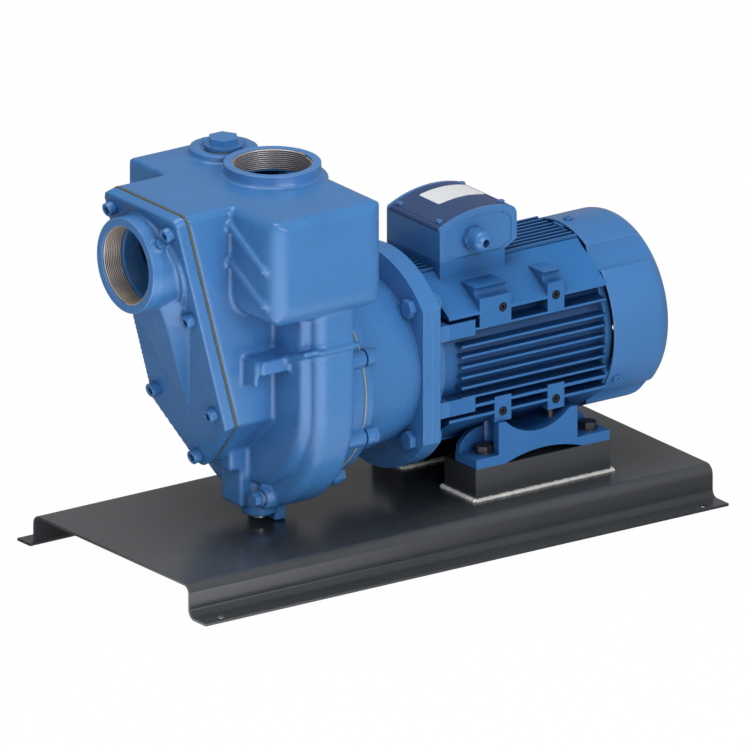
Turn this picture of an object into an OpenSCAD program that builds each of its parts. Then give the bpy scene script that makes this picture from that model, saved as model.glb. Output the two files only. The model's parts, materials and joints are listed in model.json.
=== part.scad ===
/* [Base plate] */
// Length of the base plate along the shaft
base_len = 700; // [640:1:800]
// Width of the raised top between the outer webs
base_w = 295; // [280:1:300]
// Height of the base plate's top above the floor
base_h = 39; // [36:1:50]
// Thickness of the base plate's sheet
base_t = 3; // [2:0.5:4]
// Outer radius of the sheet's bends
base_bend = 11; // [9:1:13]
// Overall width over the two bolting flanges
base_flange_w = 355; // [350:1:420]
// Distance of the fixing holes from the plate's ends
base_hole_end = 27.5; // [25:0.5:60]
// Distance of the fixing holes from the flanges' edges
base_hole_edge = 10; // [9:0.5:11]
// Radius of each fixing hole
base_hole_r = 5; // [3.5:0.5:6]

/* [Shaft line] */
// Height of the shaft axis above the floor
axis_z = 194; // [193:0.5:198]
// General clearance between a bolt and its hole
bolt_gap = 0.2; // [0.1:0.05:0.4]
// Radial running clearance of shafts and pins
run_gap = 0.05; // [0.02:0.01:0.08]
// Gap between faces that pass each other
face_gap = 0.3; // [0.2:0.05:0.5]

/* [Risers] */
// Middle of the motor's risers and feet along the shaft
riser_mid = 158; // [157:1:160]
// Length of each riser
riser_len = 180; // [176:1:190]
// Outer face of each riser from the centre line
riser_y = 98; // [96:1:104]
// Width of each riser
riser_w = 59; // [54:1:62]
// Height of each riser above the base plate
riser_h = 36; // [34:1:38]
// Wall thickness of the risers
riser_t = 6; // [4:0.5:8]
// Leg length of the weld bead round each riser
weld_leg = 5; // [3:0.5:7]

/* [Pump casing] */
// Height of the casing's flat top
casing_top = 431; // [428:1:436]
// Front face of the near tank lobe
tank_front = -239; // [-241:1:-236]
// Front face of the far tank lobe
tank_front_far = -232; // [-238:1:-228]
// Rear face of the tank
tank_back = -88; // [-90:1:-84]
// Near side of the tank from the centre line
tank_near = 150; // [148:1:156]
// Far side of the tank from the centre line
tank_far = 138.5; // [138.5:0.5:146]
// Height of the tank's underside
tank_floor = 305; // [302:1:308]
// Radius of the tank's upright corners
tank_r = 22; // [16:1:24]
// Radius of the tank's top edges
tank_top_r = 12; // [8:1:14]
// Radius of the tank's lower side edges
tank_low_r = 30; // [24:1:34]
// Height of the lower slanting rib on the near lobe
rib_z = 368; // [364:1:370]
// Rise from the lower to the upper rib
rib_step = 41; // [38:1:42]
// Slope of the ribs in degrees
rib_slope = 29.5; // [27:0.5:31]
// Length of each rib
rib_len = 78; // [72:1:80]
// How far the ribs stand out
rib_rise = 6; // [4:0.5:8]
// Wall thickness of the tank
tank_wall = 9; // [7:0.5:10]
// Outer radius of the volute band
volute_r = 138; // [136:0.5:138.5]
// Front face of the volute band
volute_front = -172; // [-174:1:-170]
// Rear face of the volute band
volute_back = -121; // [-123:1:-119]
// Radius of the volute band's front edge
volute_edge = 13; // [9:1:14]
// Radius of the volute band's rear edge
volute_edge_back = 6; // [4:1:8]
// Front of the raised scroll
scroll_front = -182; // [-184:1:-180]
// Radius of the raised scroll
scroll_r = 105; // [102:1:108]
// How far the scroll's centre lies to the near side
scroll_shift = 18; // [15:1:18]
// Edge radius of the raised scroll
scroll_edge = 9; // [6:1:10]
// Place of the sump boss along the shaft
sump_x = -163; // [-165:1:-161]
// Distance of the sump boss to the near side
sump_y = 14; // [12:1:16]
// Radius of the sump boss
sump_boss_r = 19; // [17:1:20]
// Radius of the impeller chamber
chamber_r = 122; // [118:1:124]
// Radius of the rear opening for the impeller
rear_bore_r = 104; // [103:0.5:105]
// Outer radius of the rear flange
joint_r = 115; // [114:0.5:116]
// Joint plane between casing and lantern
joint_x = -91; // [-92:1:-90]
// Thickness of the joint gasket
joint_t = 0.6; // [0.5:0.1:1]
// Pitch radius of the lantern bolts
lantern_bolt_r = 118.5; // [118:0.5:120]
// Number of lantern bolts
lantern_bolt_n = 8; // [8]
// Radius of the lantern bolts
lantern_bolt_d = 5; // [4.5:0.5:5]
// Width of the support foot across the casing
foot_block_y = 54; // [40:1:60]
// Length of the support foot along the shaft
foot_block_x = 16; // [12:1:20]

/* [Ports] */
// Radius of the threaded port holes at the thread crest
port_bore_r = 42.46; // [41:0.01:43]
// Outer radius of the port rims
port_rim_r = 53.5; // [52:0.5:56]
// Depth of the port threads
port_thread = 26; // [22:1:28]
// Radius of the passage behind the port threads
port_pass_r = 40; // [37:0.5:40.5]
// Face of the suction port
suction_face = -332; // [-336:1:-330]
// Height of the suction port
suction_z = 363; // [361:1:365]
// Place of the discharge port along the shaft
discharge_x = -134.6; // [-136:0.2:-132]
// Height of the discharge rim above the casing top
discharge_rim = 13; // [10:1:18]
// Radius of the pad round the suction boss
suction_pad_r = 60; // [58:0.5:62]
// Height of the pad round the suction boss
suction_pad_h = 4; // [3:0.5:5]

/* [Suction cover] */
// Lean of the cover's joint plane from upright
cover_tilt = 14.8; // [14:0.1:15.5]
// Joint plane's place on the shaft at the shoulder
cover_x = -234; // [-236:1:-232]
// Height of the cover's shoulder
cover_z = 186; // [184:1:188]
// Half width of the cover
cover_half = 69; // [69:0.5:71]
// Thickness of the cover plate
cover_t = 14; // [12:1:15]
// Thickness of the cover gasket
cover_gasket_t = 2; // [1.5:0.5:3]
// Corner radius of the cover
cover_r = 9; // [7:1:11]
// Distance of the side screws from the centre line
cover_screw_y = 54; // [53:0.5:55]
// Radius of the rounded tip of the cover
cover_tip_r = 14; // [13:0.5:15]
// Radius of the cover screws
cover_screw_r = 5; // [4:0.5:5]
// Radius of the casing's bosses for the cover screws
cover_boss_r = 11; // [10:0.5:12]
// Wall of the casing neck behind the cover
neck_wall = 9; // [8:0.5:10]
// Partition between suction chamber and tank
partition_x = -206; // [-208:1:-204]
// Thickness of that partition
partition_t = 8; // [6:1:9]

/* [Flap valve] */
// Height of the valve pin above the port centre, along the cover
valve_pin_rise = 48; // [47.5:0.5:49]
// Radius of the valve pin
valve_pin_r = 4; // [3:0.5:4.5]
// Radius of the valve's rubber face
valve_disc_r = 44; // [43:0.5:44.5]
// Thickness of the rubber face
valve_rubber_t = 4; // [3:0.5:5]
// Thickness of the flap's iron disc
valve_disc_t = 7; // [5:0.5:8]
// Distance of the pin behind the cover's inner face
valve_pin_back = 13; // [12.5:0.5:14]

/* [Plugs] */
// Place of the fill plug along the shaft
fill_x = -139; // [-140:1:-136]
// Distance of the fill plug to the far side
fill_y = 86; // [85:1:88]
// Radius of the fill plug's boss
fill_boss_r = 38; // [34:1:39]
// Height of the fill plug's boss above the casing top
fill_boss_h = 8; // [6:1:10]
// Radius of the fill plug's thread
fill_thread_r = 16.6; // [15:0.1:17]
// Hexagon width of the fill plug across flats
fill_hex = 30; // [27:1:32]
// Length of the fill plug's thread
fill_thread = 14; // [12:0.5:16]
// Radius of the drain plug's thread
drain_thread_r = 6.6; // [6:0.1:7]
// Hexagon width of the drain plug across flats
drain_hex = 14; // [13:1:15]
// Length of the drain plug's thread
drain_thread = 12; // [10:0.5:14]
// Distance of the drain plug to the near side
drain_y = 44; // [42:1:46]
// Height of the drain plug
drain_z = 77; // [76:1:78]

/* [Impeller] */
// Outer radius of the impeller
impeller_r = 98; // [94:0.5:100]
// Number of vanes
vane_n = 5; // [3:1:6]
// Thickness of each vane
vane_t = 6; // [4:0.5:7]
// Sweep of each vane from eye to rim in degrees
vane_sweep = 105; // [80:1:120]
// Radius where the vanes begin
vane_r0 = 26; // [25:1:30]
// Thickness of the back shroud
shroud_t = 6; // [5:0.5:7]
// Rear face of the back shroud
shroud_x = -113; // [-114:0.5:-112]
// Radius of the suction eye
eye_r = 41; // [38:0.5:42]
// Thickness of the wear plate
wear_t = 8; // [6:0.5:9]
// Radius of the stub shaft under the impeller
stub_r = 14; // [12:0.5:15]

/* [Lantern and flange] */
// Outer radius of the round flanges
flange_r = 125; // [124:0.5:127]
// Half distance between the flats on the flanges
flange_flat = 99; // [98:0.5:102]
// Thickness of the lantern's rear flange
lantern_flange_t = 12; // [10:1:14]
// Joint plane between lantern and motor flange
motor_joint_x = 9; // [8:0.5:10]
// Thickness of the motor flange
motor_flange_t = 11; // [10:1:12]
// Pitch radius of the flange bolts
flange_bolt_pr = 107.5; // [106.5:0.5:108.5]
// Radius of the flange bolts
flange_bolt_d = 6; // [5:0.5:6]
// Radius of the lantern body at its front
lantern_r0 = 103; // [100:0.5:105]
// Radius of the lantern body at its rear
lantern_r1 = 93.5; // [92:0.5:95]

/* [Motor] */
// Front end of the finned frame
frame_x0 = 36; // [35:1:38]
// Rear end of the finned frame
frame_x1 = 246; // [244:1:247]
// Outer radius of the frame's round wall
frame_r = 84; // [83:0.5:85]
// Radius of the frame's bore for the stator
frame_bore = 78; // [76:0.5:79]
// Distance of the side fin tips from the axis
fin_reach = 93; // [92:0.5:94]
// Distance of the top fin tips from the axis
fin_top = 101; // [98:0.5:101]
// Spacing of the side fins
fin_pitch = 11.85; // [11:0.05:12]
// Spacing of the top and bottom fins
top_fin_pitch = 9; // [8:0.5:10]
// Thickness of a fin at its tip
fin_tip = 2.6; // [2:0.1:3]
// Thickness of a fin at its root
fin_root = 4.2; // [3.4:0.1:5]
// Radius of the fan cover
hood_r = 105; // [104:0.5:107]
// Front edge of the fan cover
hood_x0 = 249; // [248:0.5:251]
// Rear end of the fan cover
hood_x1 = 331; // [328:1:334]
// Sheet thickness of the fan cover
hood_t = 2; // [1.5:0.5:2]
// Radius of the fan cover's shoulder
hood_round = 22; // [18:1:26]
// Radius of the four channels pressed into the fan cover
channel_r = 24; // [22:1:26]
// Depth of those channels
channel_d = 9.5; // [8:0.5:10]
// Angle of the channels above and below the side
channel_a = 51; // [49:1:53]
// Radius of the motor shaft inside the rotor
shaft_r = 17; // [15:0.5:18]
// Radius of the bearing seats on the shaft
bearing_r = 15; // [12:0.5:15]
// Outer radius of the bearings
bearing_ro = 31; // [28:0.5:33]
// Width of the bearings
bearing_w = 16; // [14:0.5:17]
// Number of balls in a bearing
ball_n = 9; // [7:1:9]
// Air gap between rotor and stator
air_gap = 0.5; // [0.3:0.1:0.8]
// Outer radius of the rotor
rotor_r = 47; // [44:0.5:49]
// Number of fan blades
fan_n = 8; // [6:1:10]
// Outer radius of the fan
fan_r = 86; // [80:1:88]

/* [Terminal box] */
// Front side of the terminal box
box_x0 = 54; // [53:1:56]
// Rear side of the terminal box
box_x1 = 157; // [155:1:160]
// Half width of the terminal box
box_half = 50; // [48:1:52]
// Height of the terminal box's seat
box_z = 304; // [303:1:306]
// Rise of the terminal box's crown above its seat
box_rise = 52; // [50:0.5:54]
// Radius of the arched top
box_arch = 132; // [128:1:140]
// Place of the arch's crown along the shaft
box_peak = 114; // [110:1:116]
// Wall thickness of the terminal box
box_wall = 4; // [3:0.5:5]
// Thickness of the lid
lid_t = 3.5; // [3:0.5:4]
// Place of the cable gland along the shaft
gland_x = 98; // [94:1:104]
// Height of the cable gland
gland_z = 324; // [322:1:326]
// Radius of the cable gland's opening
gland_bore_r = 4.5; // [3:0.5:6]
// Hexagon width of the cable gland across flats
gland_hex = 25; // [24:1:27]

/* [Motor feet] */
// How far each foot lies inside its riser's ends
foot_set = 1; // [0.5:0.5:3]
// Thickness of the foot plates
foot_t = 11; // [9:0.5:12]
// Distance between the foot bolts along the shaft
foot_bolt_x = 140; // [138:0.5:142]
// Distance between the foot bolts across the shaft
foot_bolt_y = 158; // [157:0.5:160]
// Radius of the foot bolts
foot_bolt_r = 5; // [4:0.5:5]
// Top of the foot saddle
saddle_z = 123; // [121:1:124]
// Start of the foot saddle along the shaft
saddle_x0 = 99; // [98:1:100]
// End of the foot saddle along the shaft
saddle_x1 = 204; // [202:1:206]

/* [Hidden] */
$fn = 64;
e = 0.01;
far = 600;

cast_blue = [0.26, 0.47, 0.73];
lid_navy = [0.17, 0.24, 0.39];
charcoal = [0.22, 0.22, 0.22];
steel = [0.62, 0.63, 0.65];
dark_steel = [0.24, 0.24, 0.25];
brass = [0.75, 0.6, 0.32];
rubber = [0.12, 0.12, 0.12];
fibre = [0.36, 0.32, 0.18];
copper = [0.72, 0.42, 0.24];
laminate = [0.45, 0.46, 0.48];

// Levels and stations worked out from the driving sizes
seat_z = base_h + riser_h;
riser_x = riser_mid - riser_len / 2;
cover_c = cos(cover_tilt);
cover_height = (casing_top - cover_z) / cover_c;
cover_tip_z = -58;
cover_outer = -cover_gasket_t / 2 - cover_t;
cover_inner = -cover_gasket_t / 2;
// Height of the suction port's centre measured along the cover
port_up = (suction_z - cover_z) / cover_c;
screw_rows = [9.8, 128.4, cover_height - 16.3];
chamber_front = volute_front + 8;
wear_back = chamber_front + wear_t;
vane_front = wear_back + face_gap * 2;
shroud_front = shroud_x - shroud_t;
hub_x0 = vane_front + 10;
hub_x1 = shroud_x + 4;
motor_flange_back = motor_joint_x + motor_flange_t;
bearing_x0 = 22;
bearing_x1 = frame_x1 + 1;
core_x0 = 78;
core_x1 = 196;
foot_x0 = riser_x + foot_set;
foot_x1 = riser_x + riser_len - foot_set;
pad_x = [97, 168];
pad_w = 22;
pad_screw_x = [for (x = pad_x) x + pad_w / 2];
pad_rise = 60;
foot_screw_in = 6.5;
side_fin_rows = [for (k = [-4:2]) k * fin_pitch];
panel_out = 60.5;
panel_top = 94.5;
panel_in = 42;
upper_fin = 41.5;
shield_r = 92;
hood_screw_a = [90, 210, 330];
hood_screw_x = hood_x0 + 12;
fan_x0 = 275;
box_mid = (box_x0 + box_x1) / 2;
box_crown = box_z + box_rise;
board_half = box_mid - box_x0 - 24.5;
lid_screw_y = box_half - 9;
drain_seat = scroll_front + 1;
sump_z = 49.5;
front_box_half = 22;
stub_end = 0.5;

// A flat shape in the Y-Z plane, measured from the shaft axis, run along the shaft
module along(x0, x1, z = axis_z) {
    translate([x0, 0, z]) rotate([90, 0, 90]) linear_extrude(x1 - x0) children();
}

// A flat shape in the X-Z plane, run across the shaft from y0 to y1
module across(y0, y1) {
    translate([0, y1, 0]) rotate([90, 0, 0]) linear_extrude(y1 - y0) children();
}

// A profile of radius and place along the shaft, turned about the shaft axis
module turned() {
    translate([0, 0, axis_z]) rotate([0, 90, 0]) rotate_extrude($fn = 96) children();
}

// A ring or disc about the shaft axis
module disc(x0, x1, r, r_in = 0) {
    turned() translate([r_in, x0]) square([r - r_in, x1 - x0]);
}

// A round rod along the shaft at any height
module rod_x(x0, x1, r, y, z) {
    translate([x0, y, z]) rotate([0, 90, 0]) cylinder(h = x1 - x0, r = r);
}

// A round rod across the shaft
module rod_y(y0, y1, r, x, z) {
    translate([x, y1, z]) rotate([90, 0, 0]) cylinder(h = y1 - y0, r = r);
}

module hexagon(af, h) {
    cylinder(h = h, r = af / 2 / cos(30), $fn = 6);
}

module mirror_y() {
    children();
    mirror([0, 1, 0]) children();
}

// A quarter of a ring, in the first quadrant before it is turned
module quarter_ring(ro, ri, a) {
    rotate(a) intersection() {
        difference() {
            circle(ro);
            circle(ri);
        }
        square(ro);
    }
}

// A rectangle with rounded corners, each corner with its own radius
module soft_rect(x0, y0, x1, y1, r_low, r_high) {
    difference() {
        translate([x0, y0]) square([x1 - x0, y1 - y0]);
        corner_cut(x0, y0, r_low, 0);
        corner_cut(x1, y0, r_low, 90);
        corner_cut(x1, y1, r_high, 180);
        corner_cut(x0, y1, r_high, 270);
    }
}

// What a rounded corner takes off a square one
module corner_cut(x, y, r, a) {
    translate([x, y]) rotate(a) difference() {
        translate([-1, -1]) square(r + 1);
        translate([r, r]) circle(r);
    }
}

// Base plate and risers

module hat_half() {
    web = base_w / 2 - base_t;
    translate([0, base_h - base_t]) square([base_w / 2 - base_bend, base_t]);
    translate([base_w / 2 - base_bend, base_h - base_bend])
        quarter_ring(base_bend, base_bend - base_t, 0);
    translate([web, base_bend]) square([base_t, base_h - 2 * base_bend]);
    translate([web + base_bend, base_bend]) quarter_ring(base_bend, base_bend - base_t, 180);
    translate([web + base_bend, 0]) square([base_flange_w / 2 - web - base_bend, base_t]);
}

module base_plate() {
    color(charcoal) difference() {
        along(-base_len / 2, base_len / 2, 0) {
            hat_half();
            mirror([1, 0]) hat_half();
        }
        for (x = [-1, 1], y = [-1, 1])
            translate([x * (base_len / 2 - base_hole_end), y * (base_flange_w / 2 - base_hole_edge), -1])
                cylinder(h = base_t + 2, r = base_hole_r);
    }
}

module riser() {
    difference() {
        translate([riser_x, -riser_y, base_h]) cube([riser_len, riser_w, riser_h]);
        translate([riser_x + riser_t, -riser_y + riser_t, base_h - 1])
            cube([riser_len - 2 * riser_t, riser_w - 2 * riser_t, riser_h - riser_t * 1.5 + 1]);
        foot_bolt_sites() translate([0, 0, -riser_t * 2]) cylinder(h = riser_t * 3, r = foot_bolt_r + bolt_gap);
    }
}

module riser_near() color(charcoal) riser();

module riser_far() color(charcoal) mirror([0, 1, 0]) riser();

// One weld bead: four fillets with round corners, all round a riser
module weld_ring() {
    x0 = riser_x;
    x1 = riser_x + riser_len;
    y0 = -riser_y;
    y1 = -riser_y + riser_w;
    difference() {
        union() {
            for (x = [x0, x1], y = [y0, y1])
                translate([x, y, base_h]) cylinder(h = weld_leg, r1 = weld_leg, r2 = 0);
            along(x0, x1, base_h) {
                polygon([[y0 - weld_leg, 0], [y0, weld_leg], [y0, 0]]);
                polygon([[y1 + weld_leg, 0], [y1, weld_leg], [y1, 0]]);
            }
            across(y0, y1) {
                polygon([[x0 - weld_leg, base_h], [x0, base_h], [x0, base_h + weld_leg]]);
                polygon([[x1 + weld_leg, base_h], [x1, base_h], [x1, base_h + weld_leg]]);
            }
        }
        translate([x0, y0, base_h - 1]) cube([riser_len, riser_w, weld_leg + 2]);
    }
}

module weld_beads() color([0.75, 0.75, 0.74]) mirror_y() weld_ring();

// Suction cover frame: Z runs up the cover, X runs from the cover into the casing

module on_cover() {
    translate([cover_x, 0, cover_z]) rotate([0, -cover_tilt, 0]) children();
}

// A flat shape of across and up, run along the cover's normal
module cover_plate(x0, x1) {
    translate([x0, 0, 0]) rotate([90, 0, 90]) linear_extrude(x1 - x0) children();
}

// Outline of the cover: straight sides, flat top and a rounded point below
module cover_outline(inset = 0) {
    half = cover_half - inset;
    top = cover_height - inset;
    tip = cover_tip_r - inset;
    point = cover_tip_z - tip * sqrt(2);
    difference() {
        polygon([[-half, top], [half, top], [half, point + half], [0, point], [-half, point + half]]);
        corner_cut(half, top, max(cover_r - inset, 2), 180);
        corner_cut(-half, top, max(cover_r - inset, 2), 270);
        corner_cut(0, point, tip, 45);
    }
}

// The cover outline as the casing's neck shows it, squeezed by the lean of the joint
module neck_outline(inset = 0) {
    half = cover_half - inset;
    top = casing_top - axis_z - inset;
    tip = cover_tip_r - inset;
    k = tip * sin(45);
    low = cover_z - axis_z + cover_tip_z * cover_c;
    shoulder = low + half * cover_c - 2 * k;
    difference() {
        union() {
            polygon([
                [-half, top], [half, top], [half, shoulder], [k, low - k], [-k, low - k], [-half, shoulder]
            ]);
            translate([0, low]) circle(tip);
        }
        corner_cut(half, top, max(cover_r - inset, 2), 180);
        corner_cut(-half, top, max(cover_r - inset, 2), 270);
    }
}

module cover_screw_sites() {
    on_cover() {
        for (z = screw_rows, y = [-cover_screw_y, cover_screw_y]) translate([0, y, z]) children();
        translate([0, 0, cover_tip_z]) children();
    }
}

module cover_screw_holes(x0, x1, r) {
    cover_screw_sites() rod_x(x0, x1, r, 0, 0);
}

// Pump casing

module lantern_bolt_sites() {
    for (k = [0:lantern_bolt_n - 1])
        translate([0, 0, axis_z]) rotate([(k + 0.5) * 360 / lantern_bolt_n, 0, 0])
            translate([0, lantern_bolt_r, 0]) children();
}

// The tank over the volute, rounded on all its edges
module tank_body(inset = 0) {
    x0 = tank_front + inset;
    x1 = tank_back - inset;
    y0 = -tank_near + inset;
    y1 = tank_far - inset;
    z0 = tank_floor + inset;
    z1 = casing_top - inset;
    intersection() {
        translate([0, 0, z0]) linear_extrude(z1 - z0) soft_rect(x0, y0, x1, y1, tank_r - inset, tank_r - inset);
        along(x0, x1, 0) soft_rect(y0, z0, y1, z1, tank_low_r - inset, tank_top_r - inset / 2);
        across(y0, y1) soft_rect(x0, z0, x1, z1, tank_low_r - inset, tank_top_r - inset / 2);
    }
}

// Steps the far lobe's front face back from the near one's
module far_lobe_step() {
    translate([tank_front - 1, cover_half, tank_floor - 1])
        cube([tank_front_far - tank_front + 1, tank_far, casing_top - tank_floor + 2]);
}

// One step of the volute: a half round with upright sides up to the tank, its edges rounded all along
module volute_step(r, x0, x1, front, back) {
    intersection() {
        turned() difference() {
            translate([0, x0]) square([r, x1 - x0]);
            corner_cut(r, x0, front, 90);
            corner_cut(r, x1, back, 180);
        }
        translate([x0, -r, 0]) cube([x1 - x0, 2 * r, axis_z]);
    }
    translate([0, 0, axis_z]) linear_extrude(tank_floor + 10 - axis_z) difference() {
        translate([x0, -r]) square([x1 - x0, 2 * r]);
        corner_cut(x0, -r, front, 0);
        corner_cut(x1, -r, back, 90);
        corner_cut(x1, r, back, 180);
        corner_cut(x0, r, front, 270);
    }
}

// Outline of the flange between casing and lantern, with a lug for each bolt
module joint_outline() {
    circle(joint_r, $fn = 96);
    for (k = [0:lantern_bolt_n - 1]) rotate((k + 0.5) * 360 / lantern_bolt_n)
        translate([lantern_bolt_r, 0]) circle(10);
}

module casing_outside() {
    difference() {
        tank_body();
        far_lobe_step();
    }
    volute_step(volute_r, volute_front, volute_back, volute_edge, volute_edge_back);
    translate([0, -scroll_shift, 0])
        volute_step(scroll_r, scroll_front, volute_front + 20, scroll_edge, volute_edge_back);
    intersection() {
        along(suction_face, volute_front + 1) neck_outline();
        on_cover() translate([cover_gasket_t / 2, -far / 2, -far / 2]) cube(far);
    }
    intersection() {
        along(suction_face, tank_front + 30) neck_outline();
        on_cover() translate([cover_gasket_t / 2, -far / 2, -far / 2]) cube(far);
    }
    along(volute_back - 1, joint_x) joint_outline();
    translate([discharge_x, 0, casing_top - 20]) cylinder(h = 20 + discharge_rim, r = port_rim_r);
    translate([discharge_x, 0, casing_top - 5]) cylinder(h = 9, r1 = port_rim_r + 9, r2 = port_rim_r);
    translate([fill_x, fill_y, casing_top - 20]) cylinder(h = 20 + fill_boss_h, r = fill_boss_r);
    casing_front_box();
    side_lug();
    lobe_ribs();
    translate([-150, -foot_block_y / 2, base_h]) cube([foot_block_x, foot_block_y, 40]);
}

// The stepped box under the neck, the sump boss and the drain boss
module casing_front_box() {
    translate([-207, -front_box_half, 106]) cube([40, 2 * front_box_half, 50]);
    translate([-193, -front_box_half, 62]) cube([30, 2 * front_box_half - 6, 60]);
    translate([sump_x, -sump_y, sump_z]) cylinder(h = 36, r = sump_boss_r);
    rod_x(drain_seat, volute_front + 12, 13, -drain_y, drain_z);
}

// The lug on the neck, its web and the raised parting line on the near side of the volute
module side_lug() {
    translate([-220, -101, 240]) cube([38, 40, 17]);
    translate([-224, -94, 226]) cube([6, 30, 29]);
    along(scroll_front - 6, volute_front + 5, 0) polygon([[-90, 246], [-90, 257], [-136, 272], [-136, 266]]);
    translate([volute_front + 1, -volute_r - 4, 266]) cube([volute_back - volute_front + 5, 12, 5]);
}

// Two slanting ribs on the front of the near lobe
module lobe_ribs() {
    for (z = [rib_z, rib_z + rib_step]) translate([tank_front - rib_rise, -cover_half + 4, z])
        rotate([rib_slope, 0, 0]) translate([0, -rib_len, 0]) cube([rib_rise + 2, rib_len, 8]);
}

// The suction chamber behind the cover, down to the impeller's eye
module suction_chamber() {
    difference() {
        along(suction_face, partition_x) neck_outline(neck_wall);
        cover_screw_holes(-5, 26, cover_boss_r);
    }
    intersection() {
        along(partition_x - 1, scroll_front) neck_outline(neck_wall);
        translate([-far, -far / 2, 0]) cube([far, far, tank_floor - 5]);
    }
    disc(scroll_front - 1, chamber_front + 1, eye_r);
}

// The pressure side: the impeller chamber, its way up, and the tank
module pressure_chamber() {
    difference() {
        tank_body(tank_wall);
        far_lobe_inner_step();
        translate([tank_front, -cover_half, tank_floor])
            cube([partition_x + partition_t - tank_front, 2 * cover_half, far]);
    }
    disc(chamber_front, volute_back - 4, chamber_r);
    translate([chamber_front, -90, axis_z]) cube([volute_back - 4 - chamber_front, 180, tank_floor + 15 - axis_z]);
    disc(volute_back - 5, joint_x + 1, rear_bore_r);
}

module far_lobe_inner_step() {
    translate([tank_front - 1, cover_half, tank_floor - 1])
        cube([tank_front_far - tank_front + tank_wall + 1, tank_far, far]);
}

module pump_casing() {
    color(cast_blue) difference() {
        casing_outside();
        suction_chamber();
        pressure_chamber();
        cover_screw_holes(cover_gasket_t / 2 - 1, 22, cover_screw_r + bolt_gap);
        translate([discharge_x, 0, casing_top - tank_wall - 20]) cylinder(h = far, r = port_pass_r);
        translate([discharge_x, 0, casing_top + discharge_rim - port_thread]) cylinder(h = far, r = port_bore_r);
        translate([fill_x, fill_y, casing_top - tank_wall - 20]) cylinder(h = far, r = fill_thread_r + run_gap);
        translate([fill_x, fill_y, casing_top + fill_boss_h - 3]) cylinder(h = 10, r = 26);
        lantern_bolt_sites() rod_x(joint_x - 22, joint_x + 1, lantern_bolt_d + bolt_gap, 0, 0);
        rod_x(drain_seat - 1, chamber_front + 4, drain_thread_r + run_gap, -drain_y, drain_z);
        translate([sump_x, -sump_y, 40]) cylinder(h = 34, r = 6 + bolt_gap);
        wear_screw_sites() rod_x(chamber_front - 6, chamber_front + 1, 2.5 + bolt_gap, 0, 0);
    }
}

module sump_plug() {
    color(steel) translate([sump_x, -sump_y, sump_z]) {
        translate([0, 0, -1]) cylinder(h = 17, r = 6);
        difference() {
            translate([0, 0, -4]) cylinder(h = 4, r = 9);
            translate([0, 0, -5]) hexagon(6, 3);
        }
    }
}

// Suction cover

module suction_boss() {
    rod_x(suction_face, cover_x + 60, port_rim_r, 0, suction_z);
}

// The low three-sided swell under the port, tapering to a point
module cover_swell() {
    w = 48;
    top = port_up - 40;
    low = -6;
    rise = 9;
    on_cover() translate([cover_outer, 0, 0]) polyhedron(
        points = [[1, -w, top], [1, w, top], [1, 0, low], [-rise, 0, top], [1, -w, top + 30], [1, w, top + 30], [-rise, 0, top + 30]],
        faces = [[0, 2, 3], [1, 3, 2], [0, 4, 5, 1, 2], [4, 6, 5], [0, 3, 6, 4], [1, 5, 6, 3]]
    );
}

module suction_cover() {
    color(cast_blue) difference() {
        union() {
            on_cover() cover_plate(cover_outer, cover_inner) cover_outline();
            intersection() {
                suction_boss();
                on_cover() translate([cover_inner - far, -far / 2, -far / 2]) cube(far);
            }
            on_cover() cover_plate(cover_outer - suction_pad_h, cover_inner)
                translate([0, port_up]) circle(suction_pad_r);
            cover_swell();
            valve_ears();
            rotate_gauge() cylinder(h = 57, r = 8);
        }
        rod_x(suction_face - 1, suction_face + port_thread, port_bore_r, 0, suction_z);
        rod_x(suction_face, cover_x + 60, port_pass_r, 0, suction_z);
        cover_screw_holes(cover_outer - 20, 1, cover_screw_r + bolt_gap);
        valve_pin_site() rod_y(-30, 30, valve_pin_r + run_gap, 0, 0);
        rotate_gauge() translate([0, 0, 38]) cylinder(h = 30, r = 4 + bolt_gap);
    }
}

// The gauge plug's place on the upper near flank of the suction boss
module rotate_gauge() {
    translate([suction_face + 14, 0, suction_z]) rotate([53, 0, 0]) children();
}

module gauge_plug() {
    color(cast_blue) rotate_gauge() {
        translate([0, 0, 49]) cylinder(h = 9, r = 4);
        translate([0, 0, 57]) hexagon(10, 4);
    }
}

module valve_pin_site() {
    on_cover() translate([valve_pin_back, 0, port_up + valve_pin_rise]) children();
}

// Two ears on the cover's inner face carry the valve pin
module valve_ears() {
    for (y = [-22, 14]) on_cover() {
        translate([cover_inner - 2, y, port_up + valve_pin_rise - 5.5]) cube([valve_pin_back + 3, 8, 12]);
        intersection() {
            rod_y(y, y + 8, 6.5, valve_pin_back, port_up + valve_pin_rise);
            translate([0, y, port_up + valve_pin_rise - 5.5]) cube([40, 8, 18]);
        }
    }
}

module valve_pin() {
    color(steel) valve_pin_site() {
        rod_y(-24, 24, valve_pin_r, 0, 0);
        for (y = [-24, 22]) rod_y(y, y + 2, valve_pin_r + 1.5, 0, 0);
    }
}

module valve_flap() {
    seat = cover_inner + face_gap + valve_rubber_t;
    color(cast_blue) difference() {
        union() {
            on_cover() {
                rod_x(seat, seat + valve_disc_t, valve_disc_r - 3, 0, port_up);
                translate([seat, -9, port_up]) cube([valve_disc_t, 18, valve_pin_rise - 3]);
            }
            valve_pin_site() rod_y(-13.5, 13.5, 8, 0, 0);
        }
        valve_pin_site() rod_y(-20, 20, valve_pin_r + run_gap, 0, 0);
        on_cover() rod_x(seat - 1, seat + valve_disc_t + 1, 5 + bolt_gap, 0, port_up);
    }
}

module valve_rubber() {
    color(rubber) on_cover() difference() {
        rod_x(cover_inner + face_gap, cover_inner + face_gap + valve_rubber_t, valve_disc_r, 0, port_up);
        rod_x(cover_inner, cover_inner + 10, 5 + bolt_gap, 0, port_up);
    }
}

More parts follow.
